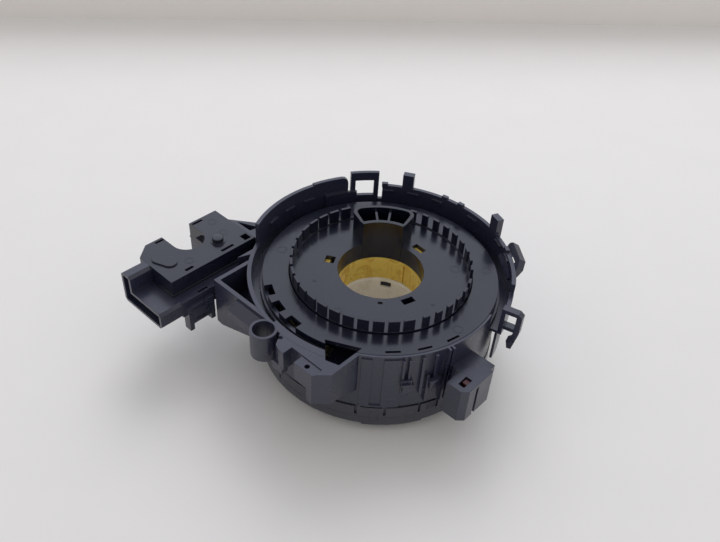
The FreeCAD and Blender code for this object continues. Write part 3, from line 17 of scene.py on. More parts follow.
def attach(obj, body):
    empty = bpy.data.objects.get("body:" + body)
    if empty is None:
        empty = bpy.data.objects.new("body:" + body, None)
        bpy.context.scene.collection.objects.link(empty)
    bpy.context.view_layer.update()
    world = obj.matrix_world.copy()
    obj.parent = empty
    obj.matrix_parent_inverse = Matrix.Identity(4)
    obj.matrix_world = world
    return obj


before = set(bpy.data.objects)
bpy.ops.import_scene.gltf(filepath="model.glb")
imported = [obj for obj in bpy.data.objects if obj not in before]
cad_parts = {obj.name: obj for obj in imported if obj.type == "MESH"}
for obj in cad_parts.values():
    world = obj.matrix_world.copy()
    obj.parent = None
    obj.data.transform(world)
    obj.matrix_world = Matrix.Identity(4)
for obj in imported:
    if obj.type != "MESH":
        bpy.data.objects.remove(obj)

Socket = bpy.types.NodeSocket
Pair = tuple[float, float]
Point = tuple[float, float, float]

LOG = logging.getLogger("clock_spring")
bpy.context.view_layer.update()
MM = 0.001  # metres in a millimetre
DECK = 42.0  # height of the discs' upper face, in millimetres
UP = np.array([0.0, 0.0, 1.0])


def linear(hex_code: str) -> tuple[float, float, float, float]:
    """Turns an sRGB colour into the linear colour that a shader takes.

    Args:
        hex_code: six hex digits, red first.

    Returns:
        Linear red, green and blue, and an alpha of one.
    """
    parts = [int(hex_code[i:i + 2], 16) / 255.0 for i in (0, 2, 4)]
    low = [c / 12.92 if c <= 0.04045 else ((c + 0.055) / 1.055) ** 2.4 for c in parts]
    return low[0], low[1], low[2], 1.0


def add_node(tree: bpy.types.NodeTree, kind: str, settings: dict | None = None,
             links: dict | None = None) -> bpy.types.Node:
    """Adds a shader node with its settings and its links.

    Args:
        tree: the material's or world's node tree.
        kind: the node's type name without the prefix ShaderNode.
        settings: node properties by name, and socket values by socket name or number.
        links: output sockets of other nodes by this node's input name or number.

    Returns:
        The new node.
    """
    node = tree.nodes.new("ShaderNode" + kind)
    for key, value in (settings or {}).items():
        if isinstance(key, str) and hasattr(node, key) and key not in node.inputs:
            setattr(node, key, value)
        else:
            node.inputs[key].default_value = value
    for key, output in (links or {}).items():
        tree.links.new(output, node.inputs[key])
    return node


class Body(Enum):
    """The bodies that the added pieces ride on."""

    STATOR = "stator"
    ROTOR = "rotor"


@dataclass(frozen=True)
class Mottle:
    """A cloudy pattern.

    It has a distance between blotches, a number of finer layers with their strength, and a stir; low
    and high are the values between which it goes from nought to one.
    """

    size_mm: float
    detail: float
    roughness: float = 0.5
    distortion: float = 0.0
    low: float = 0.3
    high: float = 0.7


MELT = Mottle(14.0, 3.0)  # broad swirls in a moulding's colour
SPECKS = Mottle(0.9, 5.0, 0.7, low=0.58, high=0.74)  # single grains of dust
HAZE = Mottle(16.0, 4.0, 0.6, 0.5, low=0.42, high=0.75)  # the thin film of dust between them
WIPES = Mottle(7.0, 4.0, 0.5, 0.6)  # patches with more or less gloss, as if wiped
STREAKS = Mottle(2.2, 3.0, 0.6, 0.4, low=0.45, high=0.65)  # drag marks in grease
WAX = Mottle(1.4, 3.0)  # the soft unevenness of acetal's skin
ROLLING = Mottle(0.2, 2.0)  # the rollers' marks in metal, ten times as coarse as real ones, to show
CLOUD = Mottle(3.0, 3.0)  # the uneven gloss of laminated film

# A mould's real grain is about 0.1 mm. The finishes below draw it at 0.4 to 0.8 mm, so that it shows.
GRAIN_DETAIL = 2.0

DUST = "9A978F"
HAZE_SHARE = 0.35  # how strong the film of dust is beside its grains
LEVEL_FROM = 0.3  # upward part of a face's direction from which dust stays on it
BEVEL_SAMPLES = 6
WELD = MM / 1000  # points of a mesh that are closer than this become one


class Shader:
    """A node material in the making: its tree, its surface shader and the object's own coordinates."""

    def __init__(self, name: str) -> None:
        """Starts a material.

        Args:
            name: the material's name.
        """
        self.material = bpy.data.materials.new(name)
        self.material.use_nodes = True
        self.tree = self.material.node_tree
        self.surface = self.tree.nodes["Principled BSDF"]
        self.place = self.add("TexCoord").outputs["Object"]

    def add(self, kind: str, settings: dict | None = None, links: dict | None = None) -> bpy.types.Node:
        """Adds a node to this material; the arguments are those of add_node.

        Args:
            kind: the node's type name without its prefix.
            settings: its properties and socket values.
            links: the outputs that feed its inputs.

        Returns:
            The new node.
        """
        return add_node(self.tree, kind, settings, links)

    def noise(self, mottle: Mottle) -> Socket:
        """Adds a cloudy pattern as it is.

        Args:
            mottle: what the pattern is like.

        Returns:
            Its value, about a half on average.
        """
        settings = {"Scale": 1 / (mottle.size_mm * MM), "Detail": mottle.detail,
                    "Roughness": mottle.roughness, "Distortion": mottle.distortion}
        return self.add("TexNoise", settings, {"Vector": self.place}).outputs[0]

    def patches(self, mottle: Mottle, to_low: float = 0.0, to_high: float = 1.0) -> Socket:
        """Adds a cloudy pattern that is spread between its low and high values.

        Args:
            mottle: what the pattern is like.
            to_low: the result outside the patches.
            to_high: the result in the middle of them.

        Returns:
            The spread value.
        """
        return self.span(self.noise(mottle), mottle.low, mottle.high, to_low, to_high)

    def span(self, value: Socket, low: float, high: float, to_low: float = 0.0,
             to_high: float = 1.0) -> Socket:
        """Maps a value from one range to another and holds it there.

        Args:
            value: the value to map.
            low: what becomes to_low.
            high: what becomes to_high.
            to_low: the first end of the result.
            to_high: its other end.

        Returns:
            The mapped value.
        """
        settings = {"From Min": low, "From Max": high, "To Min": to_low, "To Max": to_high}
        return self.add("MapRange", settings, {"Value": value}).outputs[0]

    def times(self, one: Socket, other: Socket | float) -> Socket:
        """Multiplies a value by another value or a number.

        Args:
            one: the first value.
            other: the second value, or a number.

        Returns:
            The product.
        """
        if isinstance(other, float):
            return self.add("Math", {"operation": "MULTIPLY", 1: other}, {0: one}).outputs[0]
        return self.add("Math", {"operation": "MULTIPLY"}, {0: one, 1: other}).outputs[0]

    def blend(self, amount: Socket, first: Socket | str, second: Socket | str) -> Socket:
        """Mixes two colours.

        Args:
            amount: nought gives the first colour and one the second.
            first: a colour output or an sRGB hex colour.
            second: a colour output or an sRGB hex colour.

        Returns:
            The mixed colour.
        """
        settings: dict = {"data_type": "RGBA"}
        links = {0: amount}
        # The Mix node takes its colours at inputs 6 and 7 and gives the mixed one at output 2.
        for socket, colour in ((6, first), (7, second)):
            if isinstance(colour, str):
                settings[socket] = linear(colour)
            else:
                links[socket] = colour
        return self.add("Mix", settings, links).outputs[2]

    def facing_up(self) -> Socket:
        """Finds what faces up, where dust comes to lie.

        Returns:
            One on level faces and nought on upright ones.
        """
        normal = self.add("NewGeometry").outputs["Normal"]
        height = self.add("SeparateXYZ", None, {0: normal}).outputs["Z"]
        return self.span(height, LEVEL_FROM, 1.0)

    def feed(self, socket: str, value: Socket) -> None:
        """Links a value to the surface shader.

        Args:
            socket: the surface shader's input.
            value: what feeds it.
        """
        self.tree.links.new(value, self.surface.inputs[socket])

    def skin(self, edge_mm: float, grain: Mottle, strength: float, depth_mm: float) -> None:
        """Rounds the edges for the eye and roughens the skin with a grain.

        Args:
            edge_mm: the radius that the edges seem to have.
            grain: the grain's pattern, whose value is its height.
            strength: how much of the grain shows.
            depth_mm: how deep it is.
        """
        edge = self.add("Bevel", {"samples": BEVEL_SAMPLES, "Radius": edge_mm * MM}).outputs[0]
        bump = self.add("Bump", {"Strength": strength, "Distance": depth_mm * MM},
                        {"Height": self.noise(grain), "Normal": edge})
        self.feed("Normal", bump.outputs[0])


@dataclass(frozen=True)
class MouldedPlastic:
    """An injection-moulded thermoplastic.

    The colour drifts faintly along the melt's flow, the skin's grain breaks the gloss, wiped patches
    shine more than others, rounded edges catch a thin line of light, and dust lies on what faces up.
    """

    name: str
    colour: str
    drift: str
    roughness: float
    spread: float
    grain_mm: float
    grain_strength: float
    dust: float
    edge_mm: float = 0.25
    grain_depth_mm: float = 0.02
    ior: float = 1.55

    def build(self) -> bpy.types.Material:
        """Builds the node material.

        Returns:
            The material.
        """
        make = Shader(self.name)
        melt = make.blend(make.noise(MELT), self.colour, self.drift)
        haze = make.times(make.patches(HAZE), HAZE_SHARE)
        settled = make.add("Math", {"operation": "MAXIMUM"}, {0: make.patches(SPECKS), 1: haze})
        dust = make.times(make.times(make.facing_up(), settled.outputs[0]), self.dust)
        make.feed("Base Color", make.blend(dust, melt, DUST))
        make.feed("Roughness", make.patches(WIPES, self.roughness - self.spread,
                                            self.roughness + self.spread))
        make.skin(self.edge_mm, Mottle(self.grain_mm, GRAIN_DETAIL), self.grain_strength,
                  self.grain_depth_mm)
        make.surface.inputs["IOR"].default_value = self.ior
        return make.material


@dataclass(frozen=True)
class GreasedAcetal:
    """Acetal that lets some light in, with patches of grease that darken and smooth it.

    Where grease lies the colour turns deeper and the gloss sharper; elsewhere the skin is satin and
    light seeps under it, which softens every shadow on it.
    """

    name: str
    colour: str
    greased: str
    grease: float
    seep: float
    seep_mm: float
    seep_colour: Point = (1.0, 0.7, 0.4)
    satin: float = 0.3
    wet: float = 0.1
    faintest_smear: float = 0.55
    edge_mm: float = 0.3
    grain_strength: float = 0.25
    grain_depth_mm: float = 0.03
    ior: float = 1.48

    def pools(self) -> Mottle:
        """Gives the pools of grease, which begin at a lower value where there is more grease."""
        return Mottle(size_mm=6.0, detail=4.0, roughness=0.55, distortion=1.2,
                      low=0.62 - self.grease * 0.3, high=0.70 - self.grease * 0.2)

    def build(self) -> bpy.types.Material:
        """Builds the node material.

        Returns:
            The material.
        """
        make = Shader(self.name)
        smear = make.times(make.patches(self.pools()),
                           make.patches(STREAKS, self.faintest_smear, 1.0))
        make.feed("Base Color", make.blend(smear, self.colour, self.greased))
        make.feed("Roughness", make.span(smear, 0.0, 1.0, self.satin, self.wet))
        make.skin(self.edge_mm, WAX, self.grain_strength, self.grain_depth_mm)
        make.surface.inputs["IOR"].default_value = self.ior
        make.surface.inputs["Subsurface Weight"].default_value = self.seep
        make.surface.inputs["Subsurface Radius"].default_value = self.seep_colour
        make.surface.inputs["Subsurface Scale"].default_value = self.seep_mm * MM
        return make.material


@dataclass(frozen=True)
class TinnedBrass:
    """Stamped and tin-plated brass: a soft grey metal whose gloss is broken by the rollers' marks."""

    name: str
    bright: str
    dull: str
    gloss: Pair

    def build(self) -> bpy.types.Material:
        """Builds the node material.

        Returns:
            The material.
        """
        make = Shader(self.name)
        marks = make.noise(ROLLING)
        make.feed("Base Color", make.blend(marks, self.bright, self.dull))
        make.feed("Roughness", make.span(marks, ROLLING.low, ROLLING.high, *self.gloss))
        make.surface.inputs["Metallic"].default_value = 1.0
        return make.material


@dataclass(frozen=True)
class CableFilm:
    """Flat cable: clear film laminated over rolled copper tracks, seen as copper and pale bands."""

    name: str
    copper: str
    film: str
    track_mm: float
    gloss: Pair
    track_edge: Pair = (0.35, 0.65)

    def build(self) -> bpy.types.Material:
        """Builds the node material.

        Returns:
            The material.
        """
        make = Shader(self.name)
        waves = {"bands_direction": "Z", "Scale": 1 / (self.track_mm * MM) / (2 * np.pi)}
        bands = make.add("TexWave", waves, {"Vector": make.place}).outputs[1]
        make.feed("Base Color", make.blend(make.span(bands, *self.track_edge), self.copper, self.film))
        make.feed("Roughness", make.patches(CLOUD, *self.gloss))
        return make.material


# Can, collar, frame and plug: satin blue-black with a fine even grain that blurs what it mirrors.
HOUSING_PBT = MouldedPlastic(
    "glass_filled_pbt_moulded", colour="24273A", drift="2A2D40", roughness=0.3, spread=0.06,
    grain_mm=0.5, grain_strength=0.35, dust=0.07, ior=1.62)
# Both discs, the code ring and the arm's cover: darker and smoother, so the ceiling shows in them.
DISC_PBT = MouldedPlastic(
    "pbt_polished_mould", colour="151828", drift="191C2C", roughness=0.21, spread=0.05,
    grain_mm=0.8, grain_strength=0.12, dust=0.045)
# Cancel cam: the darkest and glossiest plastic, with sharp highlights along its walls.
CAM_PBT = MouldedPlastic(
    "pbt_glossy_moulded", colour="0C0F1C", drift="101322", roughness=0.16, spread=0.04,
    grain_mm=0.8, grain_strength=0.1, dust=0.03)
# Lower lid: greyer and more matt than the can above it.
LID_PBT = MouldedPlastic(
    "pbt_eroded_mould", colour="2E303C", drift="343641", roughness=0.34, spread=0.06,
    grain_mm=0.4, grain_strength=0.5, dust=0.07, ior=1.62)
# Airbag socket: the warning yellow of its plug.
YELLOW_PBT = MouldedPlastic(
    "pbt_yellow_moulded", colour="D9A914", drift="C79A12", roughness=0.35, spread=0.05,
    grain_mm=0.6, grain_strength=0.2, dust=0.02)
# Switch socket: plain mid grey.
GREY_PBT = MouldedPlastic(
    "pbt_grey_moulded", colour="6C6D70", drift="626366", roughness=0.35, spread=0.05,
    grain_mm=0.6, grain_strength=0.2, dust=0.02)
# Lock in the plug's window: a dark red that shows only where light reaches it.
RED_PBT = MouldedPlastic(
    "pbt_red_moulded", colour="4A0D14", drift="3C0A10", roughness=0.35, spread=0.05,
    grain_mm=0.6, grain_strength=0.2, dust=0.02)
# Slip film under the cable: milky and smooth, without dust because the lid closes it in.
CLEAR_FILM = MouldedPlastic(
    "polyester_film_milky", colour="DAD8D2", drift="CFCBC2", roughness=0.25, spread=0.05,
    grain_mm=0.8, grain_strength=0.1, dust=0.0)
# Sleeve in the bore: honey yellow that glows a little, deeper where the grease lies.
AMBER_POM = GreasedAcetal("acetal_amber_greased", colour="F3D468", greased="DDB24A", grease=0.45,
                          seep=0.2, seep_mm=1.2)
# Ring under the sleeve and the cable's blocks: almost white, with soft shadows.
WHITE_POM = GreasedAcetal("acetal_natural_moulded", colour="F8F6F2", greased="F0ECE4", grease=0.3,
                          seep=0.12, seep_mm=1.0)
# Pins in the plugs and sockets: pale grey metal.
TIN = TinnedBrass("brass_tin_plated", bright="C9C7C0", dull="B4B1A8", gloss=(0.25, 0.4))
# Wound flat cable: copper bands under a clear shine.
CABLE = CableFilm("polyester_over_copper_laminated", copper="8F5A24", film="9D937F", track_mm=2.6,
                  gloss=(0.18, 0.32))

Finish = MouldedPlastic | GreasedAcetal | TinnedBrass | CableFilm

DRESS: dict[Finish, tuple[str, ...]] = {
    HOUSING_PBT: ("outer_housing", "cover_seat", "pocket_shelf", "channel_floor", "collar_skirt",
                  "collar_wall", "side_frame", "front_bracket", "plug_box", "rotor_base", "rotor_drum",
                  "connector_housing"),
    DISC_PBT: ("cover_disc", "rotor_disc", "code_ring", "arm_cover"),
    CAM_PBT: ("cancel_cam",),
    LID_PBT: ("lower_lid", "lid_rim", "lid_lip"),
    YELLOW_PBT: ("airbag_socket",),
    GREY_PBT: ("switch_socket",),
    RED_PBT: ("lock_slider",),
    CLEAR_FILM: ("slip_film",),
    AMBER_POM: ("hub_sleeve",),
    WHITE_POM: ("base_ring", "inner_cable_block", "outer_cable_block"),
    TIN: ("airbag_terminals", "switch_terminals", "connector_terminals", "side_terminals"),
    CABLE: ("flat_cable",),
}


class Wardrobe:
    """Builds each finish once and hands it to the pieces."""

    def __init__(self) -> None:
        """Builds every finish."""
        self.materials = {finish.name: finish.build() for finish in DRESS}

    def dress_frame(self) -> None:
        """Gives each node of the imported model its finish."""
        for finish, names in DRESS.items():
            for name in names:
                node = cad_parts[name]
                node.data.materials.clear()
                node.data.materials.append(self.materials[finish.name])
                LOG.info("%s wears %s", name, finish.name)


@dataclass(frozen=True)
class Patch:
    """A grid of points that becomes a piece; rows and columns may close on themselves."""

    points: np.ndarray
    close_rows: bool = False
    close_columns: bool = False

    def faces(self, first: int) -> np.ndarray:
        """Lists the quads between neighbouring points.

        Args:
            first: the number of the grid's first point.

        Returns:
            Four point numbers for each quad.
        """
        rows, columns = self.points.shape[:2]
        row, column = np.meshgrid(np.arange(rows if self.close_rows else rows - 1),
                                  np.arange(columns if self.close_columns else columns - 1),
                                  indexing="ij")
        below, beside = (row + 1) % rows, (column + 1) % columns
        quads = np.stack([row * columns + column, row * columns + beside,
                          below * columns + beside, below * columns + column], -1)
        return first + quads.reshape(-1, 4)


@dataclass(frozen=True)
class PadShape:
    """A squarish pad: half of the angle and of the height that it spans, and how far it stands off."""

    half_angle: float
    half_height: float
    rise: float


class Surfaces:
    """Parametric surfaces in millimetres; each gives one grid of points."""

    PAD_POWER = 0.35  # nought would make a pad's corners square and one would make them round
    DOME_ROOT = 0.1  # how deep a dome reaches into the face below it
    FILLET_ROOT = 0.04  # how deep a fillet's corner reaches into both of its faces
    PAD_GRID = (17, 48)  # rows from pole to pole and columns once round
    DOME_GRID = (11, 24)

    @staticmethod
    def on_wall(radius: float, azimuths: np.ndarray,
                heights: np.ndarray) -> tuple[np.ndarray, np.ndarray]:
        """Places points on an upright round wall: radius * (cos a, sin a) at the given height.

        Args:
            radius: the wall's radius.
            azimuths: one azimuth in degrees for each point.
            heights: one height for each point.

        Returns:
            The points and their outward directions.
        """
        turn = np.radians(azimuths)
        out = np.stack([np.cos(turn), np.sin(turn), np.zeros_like(turn)], -1)
        points = out * radius
        points[:, 2] = heights
        return points, out

    @staticmethod
    def globe(rings: int, sides: int) -> tuple[np.ndarray, np.ndarray]:
        """Lists the angles of a grid that closes at two poles.

        Args:
            rings: rows from pole to pole.
            sides: columns once round.

        Returns:
            The angle from the pole and the angle round it, for each point.
        """
        tilt, turn = np.meshgrid(np.linspace(0, np.pi, rings),
                                 np.linspace(0, 2 * np.pi, sides, endpoint=False), indexing="ij")
        return tilt, turn

    @staticmethod
    def bead(path: np.ndarray, out: np.ndarray, radius: float, closed: bool, sides: int = 8) -> Patch:
        """Sweeps a small circle along a path.

        For each point p of the path with unit tangent t and the given outward direction o, the circle
        is p + radius * (cos a * o + sin a * (t x o)), with a going once round. An open bead's radius
        falls to nought at both ends as the root of 1 - (2 u - 1)^8, with u from nought to one.

        Args:
            path: points along the middle of the bead.
            out: one outward unit direction for each point.
            radius: the bead's radius.
            closed: whether the path ends where it starts.
            sides: points round the circle.

        Returns:
            The swept grid.
        """
        if closed:
            tangent = np.roll(path, -1, 0) - np.roll(path, 1, 0)
            width = np.full(len(path), radius)
        else:
            tangent = np.gradient(path, axis=0)
            share = np.linspace(-1, 1, len(path))
            width = radius * np.sqrt(np.clip(1 - share ** 8, 0, 1))
        tangent /= np.linalg.norm(tangent, axis=1, keepdims=True)
        side = np.cross(tangent, out)
        side /= np.linalg.norm(side, axis=1, keepdims=True)
        angle = np.linspace(0, 2 * np.pi, sides, endpoint=False)[None, :, None]
        turned = np.cos(angle) * out[:, None, :] + np.sin(angle) * side[:, None, :]
        rings = path[:, None, :] + width[:, None, None] * turned
        return Patch(rings, close_rows=closed, close_columns=True)

    @staticmethod
    def hoop(radius: float, height: float, bead: float, steps: int, sides: int = 8) -> Patch:
        """Lays a bead once round a wall, along the wall's circle at one height.

        Args:
            radius: the wall's radius.
            height: the bead's height.
            bead: the bead's radius.
            steps: points round the wall.
            sides: points round the bead.

        Returns:
            The bead's grid.
        """
        azimuths = np.linspace(0, 360, steps, endpoint=False)
        points, out = Surfaces.on_wall(radius, azimuths, np.full(steps, height))
        return Surfaces.bead(points, out, bead, True, sides)

    @staticmethod
    def rib(radius: float, azimuth: float, heights: Pair, bead: float, steps: int = 12) -> Patch:
        """Stands a bead on a round wall, along the wall's upright line at one azimuth.

        Args:
            radius: the wall's radius.
            azimuth: where it stands.
            heights: its foot and its top.
            bead: its radius.
            steps: points along it.

        Returns:
            The rib's grid.
        """
        points, out = Surfaces.on_wall(radius, np.full(steps, azimuth), np.linspace(*heights, steps))
        return Surfaces.bead(points, out, bead, False)

    @staticmethod
    def pin_mark(spot: Pair, radius: float, bead: float, steps: int = 40) -> Patch:
        """Raises the round line that an ejector pin leaves on the discs' upper face.

        It is a bead along the level circle spot + radius * (cos a, sin a).

        Args:
            spot: the mark's middle.
            radius: the line's radius.
            bead: the radius of its bead.
            steps: points round it.

        Returns:
            The line's grid.
        """
        turn = np.linspace(0, 2 * np.pi, steps, endpoint=False)
        path = np.stack([spot[0] + radius * np.cos(turn), spot[1] + radius * np.sin(turn),
                         np.full(steps, DECK)], -1)
        return Surfaces.bead(path, np.tile(UP, (steps, 1)), bead, True)

    @staticmethod
    def pad(radius: float, azimuth: float, height: float, shape: PadShape) -> Patch:
        """Raises a closed squarish pad on a round wall, outward, or inward where its rise is negative.

        It is a superellipsoid: with a from pole to pole and t once round, a coordinate is its half size
        times the sine or cosine of its angle, with the angle's sign and to the power PAD_POWER.

        Args:
            radius: the wall's radius.
            azimuth: the pad's middle.
            height: its middle's height.
            shape: its half sizes and its rise.

        Returns:
            The pad's grid.
        """
        def soft(value: np.ndarray) -> np.ndarray:
            """Squares a sine or cosine off."""
            return np.sign(value) * np.abs(value) ** Surfaces.PAD_POWER

        tilt, turn = Surfaces.globe(*Surfaces.PAD_GRID)
        flat = soft(np.sin(tilt))
        around = np.radians(azimuth + shape.half_angle * flat * soft(np.cos(turn)))
        z = height + shape.half_height * flat * soft(np.sin(turn))
        r = radius + shape.rise * soft(np.cos(tilt))
        return Patch(np.stack([r * np.cos(around), r * np.sin(around), z], -1), close_columns=True)

    @staticmethod
    def dome(centre: Point, radius: float, rise: float) -> Patch:
        """Raises a shallow closed dome whose lower half is sunk into the face it stands on.

        With a from nought to pi, its radius is radius * sin a and its height is rise * cos a above the
        face and DOME_ROOT * cos a below it.

        Args:
            centre: the middle of its foot.
            radius: the foot's radius.
            rise: its height.

        Returns:
            The dome's grid.
        """
        tilt, turn = Surfaces.globe(*Surfaces.DOME_GRID)
        x = centre[0] + radius * np.sin(tilt) * np.cos(turn)
        y = centre[1] + radius * np.sin(tilt) * np.sin(turn)
        z = centre[2] + np.where(tilt < np.pi / 2, rise, Surfaces.DOME_ROOT) * np.cos(tilt)
        return Patch(np.stack([x, y, z], -1), close_columns=True)

    @staticmethod
    def fillet(radius: float, height: float, size: float, steps: int = 160, sides: int = 7) -> Patch:
        """Lays a hollow quarter-round into the corner between a level face and the round wall about it.

        The profile is a quarter circle whose centre lies the fillet's size away from both faces, closed
        through a corner that is sunk a little into both.

        Args:
            radius: the wall's radius.
            height: the level face's height.
            size: the fillet's radius.
            steps: points round the axis.
            sides: points along the arc.

        Returns:
            The fillet's grid.
        """
        angle = np.linspace(0, np.pi / 2, sides)
        r = np.append(radius - (size - size * np.cos(angle)), radius + Surfaces.FILLET_ROOT)
        z = np.append(height + size - size * np.sin(angle), height - Surfaces.FILLET_ROOT)
        turn = np.linspace(0, 2 * np.pi, steps, endpoint=False)
        grid = np.stack([r[:, None] * np.cos(turn), r[:, None] * np.sin(turn),
                         z[:, None] + 0 * turn], -1)
        return Patch(grid, close_rows=True, close_columns=True)


@dataclass(frozen=True)
class DetailGroup:
    """Fine pieces of one moulding: each is joined from surfaces, dressed and set to ride on a body."""

    wardrobe: Wardrobe
    body: Body
    finish: Finish

    def add(self, name: str, patches: list[Patch]) -> None:
        """Makes one piece from its surfaces.

        Args:
            name: the piece's name.
            patches: its surfaces in millimetres.
        """
        firsts = np.cumsum([0] + [patch.points[..., 0].size for patch in patches[:-1]])
        quads = np.concatenate([patch.faces(first) for patch, first in zip(patches, firsts)])
        points = np.concatenate([patch.points.reshape(-1, 3) for patch in patches]) * MM
        mesh = bpy.data.meshes.new(name)
        mesh.from_pydata(points.tolist(), [], quads.tolist())
        mesh.validate()
        shape = bmesh.new()
        shape.from_mesh(mesh)
        bmesh.ops.remove_doubles(shape, verts=shape.verts, dist=WELD)
        bmesh.ops.recalc_face_normals(shape, faces=shape.faces)
        shape.to_mesh(mesh)
        shape.free()
        mesh.polygons.foreach_set("use_smooth", [True] * len(mesh.polygons))
        mesh.materials.append(self.wardrobe.materials[self.finish.name])
        piece = bpy.data.objects.new(name, mesh)
        bpy.context.scene.collection.objects.link(piece)
        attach(piece, self.body.value)
        LOG.info("%s: %d faces, rides on %s", name, len(quads), self.body.value)


@dataclass(frozen=True)
class DiscDetails:
    """What the mould left on the two discs: ejector marks, gate stubs and the code ring's fillet."""

    cover_marks: tuple[Pair, ...] = ((-4.9, -43.4), (31.0, -30.5), (-20.5, 36.9))
    disc_marks: tuple[Pair, ...] = ((-30.6, -5.2), (12.0, 30.2), (22.4, -21.0))
    mark_radius: float = 1.9
    mark_bead: float = 0.09
    ring_inner: float = 35.9
    fillet: float = 0.35
    stubs: tuple[Pair, ...] = ((24.6, 14.0), (-24.4, 13.6), (-1.0, -28.0))
    stub_radius: float = 0.7
    stub_rise: float = 0.16

    def build(self, wardrobe: Wardrobe) -> None:
        """Makes the pieces.

        Args:
            wardrobe: gives the finishes.
        """
        fixed = DetailGroup(wardrobe, Body.STATOR, DISC_PBT)
        turning = DetailGroup(wardrobe, Body.ROTOR, DISC_PBT)
        for group, name, marks in ((fixed, "cover_ejector_marks", self.cover_marks),
                                   (turning, "disc_ejector_marks", self.disc_marks)):
            group.add(name, [Surfaces.pin_mark(spot, self.mark_radius, self.mark_bead)
                             for spot in marks])
        turning.add("code_ring_fillet", [Surfaces.fillet(self.ring_inner, DECK, self.fillet)])
        turning.add("disc_gate_stubs", [Surfaces.dome((x, y, DECK), self.stub_radius, self.stub_rise)
                                        for x, y in self.stubs])


@dataclass(frozen=True)
class HousingDetails:
    """Raised lines, clips and ribs on the round walls of the lid, the can and the collar's skirt.

    A clip is the azimuth and height of its ledge; hook_drop and rail_drop say how far below it lie the
    middle of its hook and the ends of its rails.
    """

    lid_radius: float = 49.3
    can_radius: float = 49.0
    skirt_radius: float = 52.5
    clip_radius: float = 51.0
    frames: tuple[Pair, ...] = ((219.0, 223.2), (236.0, 240.2))
    frame_heights: Pair = (7.0, 12.0)
    frame_bead: float = 0.1
    frame_steps: int = 12
    parting_height: float = 8.6
    parting_bead: float = 0.05
    clips: tuple[Pair, ...] = ((233.5, 29.4), (245.5, 29.0))
    ledge: PadShape = PadShape(2.0, 0.6, 1.3)
    hook: PadShape = PadShape(1.6, 1.6, 0.8)
    hook_drop: float = 2.8
    rail_turns: Pair = (-1.9, 1.9)
    rail_drop: Pair = (9.0, 5.0)
    rail_bead: float = 0.3
    tongues: tuple[float, ...] = (32.0, 77.0, 122.0, 167.0)
    tongue: PadShape = PadShape(4.0, 3.0, 0.45)
    tongue_height: float = 10.2
    skirt_turns: tuple[float, ...] = (-2.5, 0.0, 2.5)
    skirt_heights: Pair = (21.5, 30.0)
    skirt_bead: float = 0.35
    grips: tuple[float, ...] = (246.0, 246.8, 247.6, 248.4, 249.2, 250.0)
    grip_heights: Pair = (9.5, 14.0)
    grip_bead: float = 0.22

    def build(self, wardrobe: Wardrobe) -> None:
        """Makes the pieces.

        Args:
            wardrobe: gives the finishes.
        """
        lid = DetailGroup(wardrobe, Body.STATOR, LID_PBT)
        can = DetailGroup(wardrobe, Body.STATOR, HOUSING_PBT)
        lid.add("lid_raised_frames", [self.frame_line(*azimuths) for azimuths in self.frames])
        lid.add("lid_parting_line", [Surfaces.hoop(self.lid_radius, self.parting_height,
                                                   self.parting_bead, steps=240, sides=6)])
        can.add("front_clip_ledges", [Surfaces.pad(self.clip_radius, azimuth, height, self.ledge)
                                      for azimuth, height in self.clips])
        can.add("front_clip_hooks", [Surfaces.pad(self.clip_radius, azimuth, height - self.hook_drop,
                                                  self.hook) for azimuth, height in self.clips])
        low, high = self.rail_drop
        can.add("front_clip_rails", [Surfaces.rib(self.can_radius, azimuth + turn,
                                                  (height - low, height - high), self.rail_bead)
                                     for azimuth, height in self.clips for turn in self.rail_turns])
        lid.add("lid_snap_tongues", [Surfaces.pad(self.lid_radius, azimuth, self.tongue_height,
                                                  self.tongue) for azimuth in self.tongues])
        can.add("skirt_ribs", [Surfaces.rib(self.skirt_radius, azimuth + turn, self.skirt_heights,
                                            self.skirt_bead)
                               for azimuth in self.tongues[:3] for turn in self.skirt_turns])
        lid.add("lid_grip_ribs", [Surfaces.rib(self.lid_radius, azimuth, self.grip_heights,
                                               self.grip_bead) for azimuth in self.grips])

    def frame_line(self, start: float, end: float) -> Patch:
        """Makes a raised rectangular line on the lid's wall.

        It is a bead that goes along the lower edge, up, back along the upper edge and down.

        Args:
            start: its first azimuth in degrees.
            end: its last azimuth in degrees.

        Returns:
            The line's grid.
        """
        low, high = self.frame_heights
        across = np.linspace(start, end, self.frame_steps)
        along = np.linspace(low, high, self.frame_steps)[1:-1]
        azimuths = np.concatenate([across, np.full_like(along, end),
                                   across[::-1], np.full_like(along, start)])
        heights = np.concatenate([np.full_like(across, low), along,
                                  np.full_like(across, high), along[::-1]])
        points, out = Surfaces.on_wall(self.lid_radius, azimuths, heights)
        return Surfaces.bead(points, out, self.frame_bead, True)


